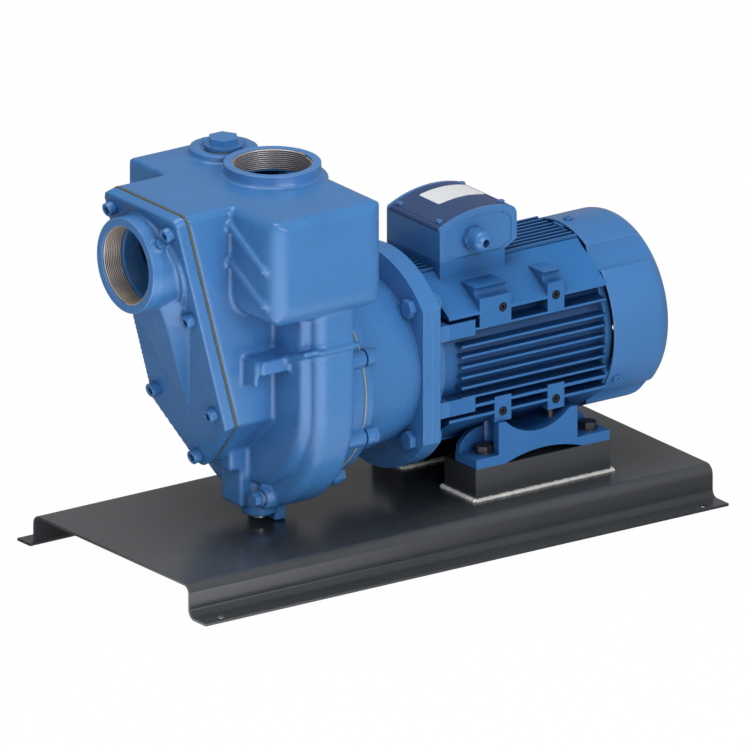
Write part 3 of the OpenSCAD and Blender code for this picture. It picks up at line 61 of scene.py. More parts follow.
# Settings are the node's own properties, inputs the values of its sockets
def addNode(tree, kind, x, y, inputs=None, **settings):
    node = tree.nodes.new(kind)
    node.location = (x, y)
    for key, value in settings.items():
        setattr(node, key, value)
    for key, value in (inputs or {}).items():
        node.inputs[key].default_value = value
    return node


# Camera: a long lens seen as parallel, aimed so that the frame's origin falls where it should
cameraView = {
    "azimuth": -35.40,               # degrees, 0 looks along +Y
    "elevation": 18.96,
    "pixelsPerMm": 0.9166,
    "imageSize": 747,
    "originPixel": (373.0, 523.2),
    "distance": 3.0,
    "farthest": 20,
}


def makeCamera(spec):
    az, el = math.radians(spec["azimuth"]), math.radians(spec["elevation"])
    right = Vector((math.cos(az), math.sin(az), 0))
    back = Vector((math.sin(az) * math.cos(el), -math.cos(az) * math.cos(el), math.sin(el)))
    up = back.cross(right)
    scale = mm / spec["pixelsPerMm"]
    half = spec["imageSize"] / 2
    originX, originY = spec["originPixel"]
    aim = right * (half - originX) * scale + up * (originY - half) * scale
    lens = bpy.data.cameras.new("camera")
    lens.type = "ORTHO"
    lens.ortho_scale = spec["imageSize"] * scale
    lens.clip_end = spec["farthest"]
    camera = bpy.data.objects.new("camera", lens)
    turn = Matrix((right, up, back)).transposed()
    camera.matrix_world = Matrix.Translation(aim + back * spec["distance"]) @ turn.to_4x4()
    scene.collection.objects.link(camera)
    scene.camera = camera


# Lamps: a big soft key from the near side, a weak one on the suction side and one overhead
lamps = {
    "target": (0, 0, 0.22),
    "key": {"place": (-0.35, -2.95, 1.5), "size": 2.4, "watts": 75},
    "side": {"place": (-2.4, -0.9, 1.3), "size": 1.4, "watts": 11},
    "top": {"place": (-0.2, 0.3, 2.6), "size": 1.8, "watts": 38},
}


def makeLamps(spec):
    for name in ("key", "side", "top"):
        part = spec[name]
        lamp = bpy.data.lights.new(name, "AREA")
        lamp.shape = "SQUARE"
        lamp.size = part["size"]
        lamp.energy = part["watts"]
        holder = bpy.data.objects.new(name, lamp)
        aim = Vector(spec["target"]) - Vector(part["place"])
        holder.location = part["place"]
        holder.rotation_euler = aim.to_track_quat("-Z", "Y").to_euler()
        scene.collection.objects.link(holder)


# The room about the part: dimmer overhead than at the horizon, and towards the suction side
room = {
    "strength": 0.44,
    "zenithShare": 0.45,
    "suctionShare": 0.70,
    "suctionFade": (-0.8, 0.3),
}


def makeRoom(spec):
    world = bpy.data.worlds.new("room")
    scene.world = world
    world.use_nodes = True
    tree = world.node_tree
    tree.nodes.clear()
    link = tree.links.new
    sky = addNode(tree, "ShaderNodeTexCoord", -900, 0)
    split = addNode(tree, "ShaderNodeSeparateXYZ", -700, 0)
    upwards = addNode(tree, "ShaderNodeMapRange", -500, 0, {
        "To Min": spec["strength"], "To Max": spec["strength"] * spec["zenithShare"]})
    aside = addNode(tree, "ShaderNodeMapRange", -500, -300, {
        "From Min": spec["suctionFade"][0], "From Max": spec["suctionFade"][1],
        "To Min": spec["suctionShare"]})
    level = addNode(tree, "ShaderNodeMath", -300, 0, operation="MULTIPLY")
    glow = addNode(tree, "ShaderNodeBackground", -100, 0)
    plain = addNode(tree, "ShaderNodeBackground", -100, -200)
    path = addNode(tree, "ShaderNodeLightPath", -100, 400)
    mix = addNode(tree, "ShaderNodeMixShader", 150, 0)
    out = addNode(tree, "ShaderNodeOutputWorld", 350, 0)
    link(sky.outputs["Generated"], split.inputs[0])
    link(split.outputs["Z"], upwards.inputs["Value"])
    link(split.outputs["X"], aside.inputs["Value"])
    link(upwards.outputs["Result"], level.inputs[0])
    link(aside.outputs["Result"], level.inputs[1])
    link(level.outputs[0], glow.inputs["Strength"])
    link(path.outputs["Is Camera Ray"], mix.inputs[0])
    link(glow.outputs[0], mix.inputs[1])
    link(plain.outputs[0], mix.inputs[2])
    link(mix.outputs[0], out.inputs["Surface"])


# White to the camera; in reflections a bright patch before the part, which its rounded edges catch
floorPaper = {
    "size": 9.0,
    "tone": (0.9, 0.9, 0.9, 1),
    "roughness": 0.8,
    "specular": 0.1,
    "whiteShare": 0.985,
    "patch": {"place": (-0.62, -0.75, 0), "inner": 0.3, "outer": 1.0, "bright": 4.0, "dim": 0.2},
}


def makeFloor(spec):
    size, card = spec["size"], spec["patch"]
    mesh = bpy.data.meshes.new("floor")
    corners = [(-size, -size, 0), (size, -size, 0), (size, size, 0), (-size, size, 0)]
    mesh.from_pydata(corners, [], [(0, 1, 2, 3)])
    floor = bpy.data.objects.new("floor", mesh)
    scene.collection.objects.link(floor)
    material = bpy.data.materials.new("floorPaper")
    material.use_nodes = True
    tree = material.node_tree
    link = tree.links.new
    shade = tree.nodes["Principled BSDF"]
    shade.inputs["Base Color"].default_value = spec["tone"]
    shade.inputs["Roughness"].default_value = spec["roughness"]
    shade.inputs["Specular IOR Level"].default_value = spec["specular"]
    ground = addNode(tree, "ShaderNodeTexCoord", -900, -300)
    away = addNode(tree, "ShaderNodeVectorMath", -700, -300, {1: card["place"]},
                   operation="DISTANCE")
    patch = addNode(tree, "ShaderNodeMapRange", -500, -300, {
        "From Min": card["inner"], "From Max": card["outer"],
        "To Min": card["bright"], "To Max": card["dim"]}, interpolation_type="SMOOTHSTEP")
    mirrored = addNode(tree, "ShaderNodeEmission", -300, -300)
    path = addNode(tree, "ShaderNodeLightPath", -500, 300)
    share = addNode(tree, "ShaderNodeMath", -300, 200, {1: spec["whiteShare"]},
                    operation="MULTIPLY")
    white = addNode(tree, "ShaderNodeEmission", -100, -500)
    inMirror = addNode(tree, "ShaderNodeMixShader", 0, -200)
    mix = addNode(tree, "ShaderNodeMixShader", 200, -200)
    link(ground.outputs["Object"], away.inputs[0])
    link(away.outputs["Value"], patch.inputs["Value"])
    link(patch.outputs["Result"], mirrored.inputs["Strength"])
    link(path.outputs["Is Glossy Ray"], inMirror.inputs[0])
    link(shade.outputs[0], inMirror.inputs[1])
    link(mirrored.outputs[0], inMirror.inputs[2])
    link(path.outputs["Is Camera Ray"], share.inputs[0])
    link(share.outputs[0], mix.inputs[0])
    link(inMirror.outputs[0], mix.inputs[1])
    link(white.outputs[0], mix.inputs[2])
    link(mix.outputs[0], tree.nodes["Material Output"].inputs["Surface"])
    mesh.materials.append(material)


makeCamera(cameraView)
makeLamps(lamps)
makeRoom(room)
makeFloor(floorPaper)
print("camera and studio made")


# Every group of shader nodes gives a colour, a roughness and a normal
def newGroup(name, inputs):
    group = bpy.data.node_groups.new(name, "ShaderNodeTree")
    for key, value in inputs.items():
        kind = "NodeSocketColor" if isinstance(value, tuple) else "NodeSocketFloat"
        socket = group.interface.new_socket(name=key, in_out="INPUT", socket_type=kind)
        socket.default_value = value
    for key, kind in (("Color", "Color"), ("Roughness", "Float"), ("Normal", "Vector")):
        group.interface.new_socket(name=key, in_out="OUTPUT", socket_type="NodeSocket" + kind)
    start = addNode(group, "NodeGroupInput", -1100, 0)
    end = addNode(group, "NodeGroupOutput", 700, 0)
    return group, start, end


# Paint over a casting: edges soften and turn paler, partly worn paint and partly a painted
# highlight, hollows take painted shade, grain shows through, tone and gloss wander a little
paintDetail = {
    "samples": 4,
    "blotch": {"Scale": 14.0, "Detail": 4.0, "Roughness": 0.6},
    "blotchSpan": {"From Min": 0.3, "From Max": 0.7, "To Min": -1.0, "To Max": 1.0},
    "edgeSpan": {"From Min": 0.995, "From Max": 0.90},
    "edgeBreakup": {"Scale": 260.0, "Detail": 3.0},
    "cavityShadeTint": srgb(70, 92, 120),
    "sheen": {"Scale": 30.0, "Detail": 3.0},
    "sheenSpan": {"To Min": -0.06, "To Max": 0.08},
    "wave": {"Detail": 2.0},
    "grain": {"Detail": 3.0},
}


def buildPaintGroup(spec):
    group, start, end = newGroup("paintOverMetal", {
        "Paint": srgb(80, 128, 188), "Wear Highlight": srgb(120, 160, 210), "Grain Size": 900.0,
        "Grain Depth": 0.00005, "Wave Size": 45.0, "Wave Depth": 0.0002, "Edge Round": 0.001,
        "Edge Wear Highlight": 0.25, "Gloss": 0.3, "Tone": 0.05, "Cavity Shade Reach": 0.03, "Cavity Shade Depth": 0.45})
    link = group.links.new
    place = addNode(group, "ShaderNodeTexCoord", -1100, 400)
    soft = addNode(group, "ShaderNodeBevel", -800, -250, samples=spec["samples"])
    link(start.outputs["Edge Round"], soft.inputs["Radius"])

    # The tone wanders
    blotch = addNode(group, "ShaderNodeTexNoise", -800, 450, spec["blotch"])
    spread = addNode(group, "ShaderNodeMapRange", -560, 450, spec["blotchSpan"])
    swing = addNode(group, "ShaderNodeMath", -360, 450, operation="MULTIPLY")
    level = addNode(group, "ShaderNodeMath", -180, 450, {1: 1.0}, operation="ADD")
    toned = addNode(group, "ShaderNodeHueSaturation", 0, 450)
    link(place.outputs["Object"], blotch.inputs["Vector"])
    link(blotch.outputs["Fac"], spread.inputs["Value"])
    link(spread.outputs["Result"], swing.inputs[0])
    link(start.outputs["Tone"], swing.inputs[1])
    link(swing.outputs[0], level.inputs[0])
    link(start.outputs["Paint"], toned.inputs["Color"])
    link(level.outputs[0], toned.inputs["Value"])

    # Edges are painted paler where the softened normal leaves the true one: partly worn paint,
    # partly a painted highlight on rounded edges
    shape = addNode(group, "ShaderNodeNewGeometry", -800, 150)
    turn = addNode(group, "ShaderNodeVectorMath", -560, 150, operation="DOT_PRODUCT")
    edge = addNode(group, "ShaderNodeMapRange", -360, 150, spec["edgeSpan"])
    edgeBreakup = addNode(group, "ShaderNodeTexNoise", -560, -20, spec["edgeBreakup"])
    patchy = addNode(group, "ShaderNodeMath", -180, 150, operation="MULTIPLY")
    rubAndHighlight = addNode(group, "ShaderNodeMath", 0, 150, operation="MULTIPLY")
    blend = addNode(group, "ShaderNodeMix", 220, 350, data_type="RGBA")
    link(shape.outputs["Normal"], turn.inputs[0])
    link(soft.outputs["Normal"], turn.inputs[1])
    link(turn.outputs["Value"], edge.inputs["Value"])
    link(place.outputs["Object"], edgeBreakup.inputs["Vector"])
    link(edge.outputs["Result"], patchy.inputs[0])
    link(edgeBreakup.outputs["Fac"], patchy.inputs[1])
    link(patchy.outputs[0], rubAndHighlight.inputs[0])
    link(start.outputs["Edge Wear Highlight"], rubAndHighlight.inputs[1])
    link(rubAndHighlight.outputs[0], blend.inputs["Factor"])
    link(toned.outputs["Color"], blend.inputs["A"])
    link(start.outputs["Wear Highlight"], blend.inputs["B"])

    # Painted shade: hollows, corners and places under other parts are darkened by ambient occlusion
    hollow = addNode(group, "ShaderNodeAmbientOcclusion", 0, 650, samples=spec["samples"])
    dusk = addNode(group, "ShaderNodeMath", 180, 650, {0: 1.0}, operation="SUBTRACT")
    depth = addNode(group, "ShaderNodeMath", 340, 650, operation="MULTIPLY")
    shade = addNode(group, "ShaderNodeMix", 520, 450, data_type="RGBA", blend_type="MULTIPLY")
    shade.inputs["B"].default_value = spec["cavityShadeTint"]
    link(start.outputs["Cavity Shade Reach"], hollow.inputs["Distance"])
    link(hollow.outputs["AO"], dusk.inputs[1])
    link(dusk.outputs[0], depth.inputs[0])
    link(start.outputs["Cavity Shade Depth"], depth.inputs[1])
    link(depth.outputs[0], shade.inputs["Factor"])
    link(blend.outputs["Result"], shade.inputs["A"])
    link(shade.outputs["Result"], end.inputs["Color"])

    # The gloss wanders
    sheen = addNode(group, "ShaderNodeTexNoise", -560, -450, spec["sheen"])
    shift = addNode(group, "ShaderNodeMapRange", -360, -450, spec["sheenSpan"])
    gloss = addNode(group, "ShaderNodeMath", -180, -450, operation="ADD")
    link(place.outputs["Object"], sheen.inputs["Vector"])
    link(sheen.outputs["Fac"], shift.inputs["Value"])
    link(shift.outputs["Result"], gloss.inputs[0])
    link(start.outputs["Gloss"], gloss.inputs[1])
    link(gloss.outputs[0], end.inputs["Roughness"])

    # Waves of the casting and, over them, the grain of its skin
    wave = addNode(group, "ShaderNodeTexNoise", -800, -700, spec["wave"])
    roll = addNode(group, "ShaderNodeBump", 0, -600)
    grain = addNode(group, "ShaderNodeTexNoise", -800, -950, spec["grain"])
    pitted = addNode(group, "ShaderNodeBump", 260, -600)
    link(place.outputs["Object"], wave.inputs["Vector"])
    link(start.outputs["Wave Size"], wave.inputs["Scale"])
    link(start.outputs["Wave Depth"], roll.inputs["Distance"])
    link(wave.outputs["Fac"], roll.inputs["Height"])
    link(soft.outputs["Normal"], roll.inputs["Normal"])
    link(place.outputs["Object"], grain.inputs["Vector"])
    link(start.outputs["Grain Size"], grain.inputs["Scale"])
    link(start.outputs["Grain Depth"], pitted.inputs["Distance"])
    link(grain.outputs["Fac"], pitted.inputs["Height"])
    link(roll.outputs["Normal"], pitted.inputs["Normal"])
    link(pitted.outputs["Normal"], end.inputs["Normal"])
    return group


# The last steps of the plainer groups: two colours mixed, roughness, and bumps on softened edges
def closeGroup(group, start, end, spec):
    link = group.links.new
    blend = addNode(group, "ShaderNodeMix", -120, 300, data_type="RGBA")
    link(spec["share"], blend.inputs["Factor"])
    link(start.outputs[spec["first"]], blend.inputs["A"])
    link(start.outputs[spec["second"]], blend.inputs["B"])
    link(blend.outputs["Result"], end.inputs["Color"])
    rough = addNode(group, "ShaderNodeMath", -120, 0, {1: spec["rougher"]},
                    operation="MULTIPLY_ADD")
    link(spec["roughBy"], rough.inputs[0])
    link(start.outputs["Gloss"], rough.inputs[2])
    link(rough.outputs[0], end.inputs["Roughness"])
    soft = addNode(group, "ShaderNodeBevel", -560, -300, samples=4)
    bump = addNode(group, "ShaderNodeBump", 100, -300)
    link(start.outputs["Edge Round"], soft.inputs["Radius"])
    link(start.outputs[spec["depth"]], bump.inputs["Distance"])
    link(spec["height"], bump.inputs["Height"])
    link(soft.outputs["Normal"], bump.inputs["Normal"])
    link(bump.outputs["Normal"], end.inputs["Normal"])


# Bare or plated metal: fine turning lines, stains and softened edges
metalDetail = {
    "stains": {"Scale": 70.0, "Detail": 5.0, "Roughness": 0.7},
    "stainSpan": {"From Min": 0.42, "From Max": 0.72},
    "lines": {"Detail": 4.0},
    "rougher": 0.35,
}


def buildMetalGroup(spec):
    group, start, end = newGroup("wornMetal", {
        "Metal": srgb(170, 172, 175), "Stain": srgb(95, 88, 78), "Stain Amount": 0.3,
        "Line Size": 1500.0, "Line Depth": 0.00002, "Edge Round": 0.0004, "Gloss": 0.35})
    link = group.links.new
    place = addNode(group, "ShaderNodeTexCoord", -1100, 400)
    stains = addNode(group, "ShaderNodeTexNoise", -800, 300, spec["stains"])
    mask = addNode(group, "ShaderNodeMapRange", -560, 300, spec["stainSpan"])
    share = addNode(group, "ShaderNodeMath", -360, 300, operation="MULTIPLY")
    lines = addNode(group, "ShaderNodeTexNoise", -560, -550, spec["lines"])
    link(place.outputs["Object"], stains.inputs["Vector"])
    link(stains.outputs["Fac"], mask.inputs["Value"])
    link(mask.outputs["Result"], share.inputs[0])
    link(start.outputs["Stain Amount"], share.inputs[1])
    link(place.outputs["Object"], lines.inputs["Vector"])
    link(start.outputs["Line Size"], lines.inputs["Scale"])
    closeGroup(group, start, end, {
        "first": "Metal", "second": "Stain", "share": share.outputs[0], "rougher": spec["rougher"],
        "roughBy": share.outputs[0], "depth": "Line Depth", "height": lines.outputs["Fac"]})
    return group


# Moulded or pressed stuff that isn't metal: rubber, fibre, plastic, ceramic
stuffDetail = {"fleck": {"Detail": 4.0}, "rougher": 0.1}


def buildStuffGroup(spec):
    group, start, end = newGroup("mouldedStuff", {
        "Stuff": srgb(40, 40, 40), "Fleck": srgb(60, 60, 60), "Fleck Size": 300.0,
        "Fleck Amount": 0.4, "Bumps": 0.00005, "Edge Round": 0.0004, "Gloss": 0.5})
    link = group.links.new
    place = addNode(group, "ShaderNodeTexCoord", -1100, 400)
    fleck = addNode(group, "ShaderNodeTexNoise", -800, 300, spec["fleck"])
    share = addNode(group, "ShaderNodeMath", -360, 300, operation="MULTIPLY")
    link(place.outputs["Object"], fleck.inputs["Vector"])
    link(start.outputs["Fleck Size"], fleck.inputs["Scale"])
    link(fleck.outputs["Fac"], share.inputs[0])
    link(start.outputs["Fleck Amount"], share.inputs[1])
    closeGroup(group, start, end, {
        "first": "Stuff", "second": "Fleck", "share": share.outputs[0], "rougher": spec["rougher"],
        "roughBy": fleck.outputs["Fac"], "depth": "Bumps", "height": fleck.outputs["Fac"]})
    return group


groups = {
    "paint": buildPaintGroup(paintDetail),
    "metal": buildMetalGroup(metalDetail),
    "stuff": buildStuffGroup(stuffDetail),
}
coatRoughness = 0.12


def finishFrom(name, kind, settings, metallic=0.0, coat=0.0, specular=0.5):
    material = bpy.data.materials.new(name)
    material.use_nodes = True
    tree = material.node_tree
    shade = tree.nodes["Principled BSDF"]
    shade.inputs["Metallic"].default_value = metallic
    shade.inputs["Specular IOR Level"].default_value = specular
    shade.inputs["Coat Weight"].default_value = coat
    shade.inputs["Coat Roughness"].default_value = coatRoughness
    effect = tree.nodes.new("ShaderNodeGroup")
    effect.node_tree = groups[kind]
    effect.location = (-300, 200)
    for key, value in settings.items():
        effect.inputs[key].default_value = value
    tree.links.new(effect.outputs["Color"], shade.inputs["Base Color"])
    tree.links.new(effect.outputs["Roughness"], shade.inputs["Roughness"])
    tree.links.new(effect.outputs["Normal"], shade.inputs["Normal"])
    return material


# In the paints below, the pale edge colour is partly worn paint and partly a painted highlight on
# rounded edges; for the blues it is strong
blue = {"Paint": srgb(62, 117, 176), "Wear Highlight": srgb(128, 176, 228), "Edge Wear Highlight": 0.55}
sheet = {**blue, "Gloss": 0.30, "Grain Depth": 0.00002}
finishes = {
    "castBlue": finishFrom("castBluePaint", "paint", {
        **blue, "Gloss": 0.27, "Edge Round": 0.0014}, coat=0.1, specular=0.4),
    "rimBlue": finishFrom("rimBluePaint", "paint", {
        "Paint": srgb(67, 123, 185), "Wear Highlight": srgb(150, 190, 230), "Gloss": 0.28,
        "Edge Round": 0.0008, "Edge Wear Highlight": 0.5, "Wave Depth": 0.00004}, coat=0.2),
    # The motor's blue is the cast blue made darker, as painted shade on the finned motor and its
    # feet, with deeper painted shade among the fins
    "motorShadedBlue": finishFrom("motorShadedBluePaint", "paint", {
        "Paint": srgb(42, 104, 166), "Wear Highlight": srgb(104, 158, 216), "Edge Wear Highlight": 0.5, "Gloss": 0.36,
        "Edge Round": 0.0010, "Cavity Shade Depth": 1.2, "Cavity Shade Reach": 0.035}, coat=0.1),
    "sheetBlue": finishFrom("sheetBluePaint", "paint", {
        **sheet, "Wave Depth": 0.00008, "Edge Round": 0.0006}, coat=0.2),
    "hoodBlue": finishFrom("hoodBluePaint", "paint", {
        **sheet, "Wave Depth": 0.0001, "Edge Round": 0.0025}, coat=0.2),
    "navyLid": finishFrom("navyLidPaint", "paint", {
        "Paint": srgb(42, 68, 112), "Wear Highlight": srgb(96, 118, 156), "Gloss": 0.38,
        "Wave Depth": 0.00005, "Edge Round": 0.0006}),
    # charcoal: the long, deep cavity reach paints shade on the base plate under the pump and motor
    "charcoal": finishFrom("charcoalPaint", "paint", {
        "Paint": srgb(73, 75, 77), "Wear Highlight": srgb(124, 126, 128), "Gloss": 0.2,
        "Grain Depth": 0.00001, "Wave Size": 25.0, "Wave Depth": 0.00006, "Edge Round": 0.0008,
        "Cavity Shade Reach": 0.12, "Cavity Shade Depth": 1.2}),
    "labelPlate": finishFrom("blankLabelPlate", "stuff", {
        "Stuff": srgb(226, 228, 230), "Fleck": srgb(206, 208, 212), "Fleck Amount": 0.3,
        "Bumps": 0.00001, "Gloss": 0.4}),
    # threadMetal: painted shade darkens the grooves between the ridges, and the pale edge colour is
    # a painted highlight on their crests
    "threadMetal": finishFrom("threadMetal", "paint", {
        "Paint": srgb(222, 204, 186), "Wear Highlight": srgb(242, 230, 216), "Gloss": 0.36,
        "Edge Round": 0.0001, "Grain Depth": 0.0, "Wave Depth": 0.0, "Cavity Shade Reach": 0.003,
        "Cavity Shade Depth": 1.6}, metallic=0.5),
    "weldMetal": finishFrom("weldMetal", "metal", {
        "Metal": srgb(206, 206, 203), "Stain": srgb(150, 150, 148), "Stain Amount": 0.35,
        "Gloss": 0.45}, metallic=0.25),
    "steel": finishFrom("steel", "metal", {}, metallic=1.0),
    "darkSteel": finishFrom("darkSteel", "metal", {
        "Metal": srgb(70, 70, 74), "Stain": srgb(30, 30, 32), "Gloss": 0.4}, metallic=0.8),
    "brass": finishFrom("brassWasher", "metal", {
        "Metal": srgb(176, 152, 108), "Stain": srgb(110, 92, 62), "Gloss": 0.4}, metallic=0.9),
    "iron": finishFrom("machinedIron", "metal", {
        "Metal": srgb(110, 110, 112), "Stain": srgb(70, 58, 48), "Stain Amount": 0.5,
        "Gloss": 0.5}, metallic=0.7),
    "laminate": finishFrom("laminate", "metal", {
        "Metal": srgb(120, 122, 126), "Gloss": 0.45}, metallic=0.8),
    "copper": finishFrom("copperWire", "metal", {
        "Metal": srgb(170, 96, 60), "Stain": srgb(110, 60, 36), "Line Depth": 0.0004,
        "Line Size": 400.0, "Gloss": 0.35}, metallic=0.8),
    "rubber": finishFrom("rubber", "stuff", {
        "Stuff": srgb(34, 34, 34), "Fleck": srgb(50, 50, 50), "Gloss": 0.55}),
    "fibre": finishFrom("fibreGasket", "stuff", {
        "Stuff": srgb(92, 82, 46), "Fleck": srgb(130, 118, 74), "Fleck Size": 700.0,
        "Gloss": 0.7}),
    "paper": finishFrom("paperGasket", "stuff", {
        "Stuff": srgb(214, 208, 150), "Fleck": srgb(180, 172, 110), "Fleck Size": 700.0,
        "Gloss": 0.7}),
    "ceramic": finishFrom("ceramic", "stuff", {
        "Stuff": srgb(216, 212, 200), "Fleck": srgb(200, 196, 186), "Gloss": 0.25}),
    "plastic": finishFrom("blackPlastic", "stuff", {
        "Stuff": srgb(38, 38, 40), "Fleck": srgb(52, 52, 54), "Gloss": 0.42}),
    "board": finishFrom("brownBoard", "stuff", {
        "Stuff": srgb(112, 62, 42), "Fleck": srgb(90, 48, 34), "Gloss": 0.4}),
}

# Each node's finish follows its material slot, but for the few that differ within a slot
slotFinish = {
    "cast_blue": "castBlue", "lid_navy": "navyLid", "base_charcoal": "charcoal",
    "weld": "weldMetal", "steel": "steel", "dark_steel": "darkSteel", "brass": "brass",
    "rubber": "rubber", "fibre": "fibre", "paper": "paper", "ceramic": "ceramic",
    "copper": "copper", "laminate": "laminate", "plastic": "plastic", "board": "board",
    "iron": "iron",
}
slotOf = {part["node"]: part["material_slot"] for part in frame["record"]["subparts"]}
finishOfNode = {
    "fan_cover": "hoodBlue", "terminal_box": "sheetBlue", "motor_frame": "motorShadedBlue",
    "foot_near": "motorShadedBlue", "foot_far": "motorShadedBlue",
}


def dressNodes():
    for name, thing in nodes.items():
        finish = finishOfNode.get(name, slotFinish[slotOf[name]])
        thing.data.materials.clear()
        thing.data.materials.append(finishes[finish])


dressNodes()
print("finishes on", len(nodes), "nodes")


# Small tools for meshes
def evaluated(thing):
    graph = bpy.context.evaluated_depsgraph_get()
    mesh = bpy.data.meshes.new_from_object(
        thing.evaluated_get(graph), preserve_all_data_layers=True, depsgraph=graph)
    thing.modifiers.clear()
    thing.data = mesh


def newThing(name, mesh):
    thing = bpy.data.objects.new(name, mesh)
    scene.collection.objects.link(thing)
    return thing


def closePiece(thing, finish, stands=(), body="pump_body"):
    thing.data.materials.clear()
    thing.data.materials.append(finishes[finish])
    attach(thing, body)
    if stands:
        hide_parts(*stands)


# Rings of points joined into one skin; the ends are capped unless the last ring joins the first
def meshFromRings(name, rings, joined=False):
    count = len(rings[0])
    last = len(rings) - 1
    pairs = [(k, k + 1) for k in range(last)] + ([(last, 0)] if joined else [])
    faces = [(a * count + k, a * count + (k + 1) % count,
              b * count + (k + 1) % count, b * count + k) for a, b in pairs for k in range(count)]
    if not joined:
        faces.append(tuple(range(count)))
        faces.append(tuple(last * count + k for k in range(count)))
    mesh = bpy.data.meshes.new(name)
    mesh.from_pydata([point for ring in rings for point in ring], [], faces)
    work = bmesh.new()
    work.from_mesh(mesh)
    bmesh.ops.recalc_face_normals(work, faces=work.faces)
    work.to_mesh(mesh)
    work.free()
    return mesh


ringPoints = 36


def roundRing(radius, height, count=ringPoints):
    angles = [2 * math.pi * k / count for k in range(count)]
    return [(radius * math.cos(angle), radius * math.sin(angle), height) for angle in angles]


# A hexagon; with a cut, what lies outside that radius slopes down as a chamfer
def hexRing(across, height, cut=None):
    ring = []
    for k in range(ringPoints):
        angle = 2 * math.pi * k / ringPoints
        off = (angle + math.pi / 6) % (math.pi / 3) - math.pi / 6
        radius = across / 2 / math.cos(off)
        drop = 0 if cut is None else max(radius - cut, 0) * headShape["slope"]
        ring.append((radius * math.cos(angle), radius * math.sin(angle), height - drop))
    return ring


# What all heads share: lengths in metres, the rest as shares of the head's own size
headShape = {
    "chamfer": 0.95, "slope": 0.5, "foot": 0.96, "footRise": 0.0004,
    "washer": 0.0016, "washerEdge": 0.0002, "nutBevel": 0.0008, "headBevel": 0.0009,
    "mouth": 0.64, "mouthBevel": 0.0007, "drill": 0.2, "drillTip": 0.001,
}


# Fastener shapes, heads up along Z with the bearing face at zero
def hexBolt(name, spec):
    keys = ("across", "height", "shank", "length")
    across, height, shank, length = (spec[key] * mm for key in keys)
    chamfer = across / 2 * headShape["chamfer"]
    rings = [roundRing(shank, -length)]
    if "washer" in spec:
        washer, low, edge = spec["washer"] * mm, -headShape["washer"], headShape["washerEdge"]
        rings += [roundRing(shank, low), roundRing(washer, low), roundRing(washer, -edge),
                  roundRing(washer - edge, 0)]
    else:
        rings += [roundRing(shank, 0)]
    rings += [hexRing(across * headShape["foot"], 0), hexRing(across, headShape["footRise"]),
              hexRing(across, height, chamfer), roundRing(chamfer, height)]
    return meshFromRings(name, rings)


def hexNut(name, spec):
    across, height, bore = (spec[key] * mm for key in ("across", "height", "bore"))
    chamfer, bevel = across / 2 * headShape["chamfer"], headShape["nutBevel"]
    rings = [roundRing(bore, 0), hexRing(across, 0), hexRing(across, height, chamfer),
             roundRing(chamfer, height), roundRing(bore + bevel, height),
             roundRing(bore, height - bevel)]
    return meshFromRings(name, rings, joined=True)


def socketScrew(name, spec):
    keys = ("radius", "height", "socket", "depth", "shank", "length")
    radius, height, socket, depth, shank, length = (spec[key] * mm for key in keys)
    bevel = headShape["headBevel"]
    rings = [roundRing(shank, -length), roundRing(shank, 0), roundRing(radius, 0),
             roundRing(radius, height - bevel), roundRing(radius - bevel, height),
             roundRing(socket * headShape["mouth"], height),
             hexRing(socket, height - headShape["mouthBevel"]), hexRing(socket, height - depth),
             roundRing(socket * headShape["drill"], height - depth - headShape["drillTip"])]
    return meshFromRings(name, rings)


# Geometry Nodes: each tree has named inputs and ends in real geometry with its finish on
def newTree(name, inputs, output):
    tree = bpy.data.node_groups.new(name, "GeometryNodeTree")
    for key, kind in inputs.items():
        tree.interface.new_socket(name=key, in_out="INPUT", socket_type="NodeSocket" + kind)
    tree.interface.new_socket(name=output, in_out="OUTPUT", socket_type="NodeSocketGeometry")
    return tree, addNode(tree, "NodeGroupInput", -900, 0), addNode(tree, "NodeGroupOutput", 1100, 0)


def closeTree(tree, start, end, geometry):
    real = addNode(tree, "GeometryNodeRealizeInstances", 650, 0)
    paint = addNode(tree, "GeometryNodeSetMaterial", 850, 0)
    tree.links.new(geometry, real.inputs["Geometry"])
    tree.links.new(real.outputs["Geometry"], paint.inputs["Geometry"])
    tree.links.new(start.outputs["Finish"], paint.inputs["Material"])
    tree.links.new(paint.outputs["Geometry"], end.inputs[0])


def runNodes(name, mesh, tree, values):
    thing = newThing(name, mesh)
    builder = thing.modifiers.new("build", "NODES")
    builder.node_group = tree
    for item in tree.interface.items_tree:
        if item.item_type == "SOCKET" and item.in_out == "INPUT" and item.name in values:
            builder[item.identifier] = values[item.name]
    evaluated(thing)
    return thing


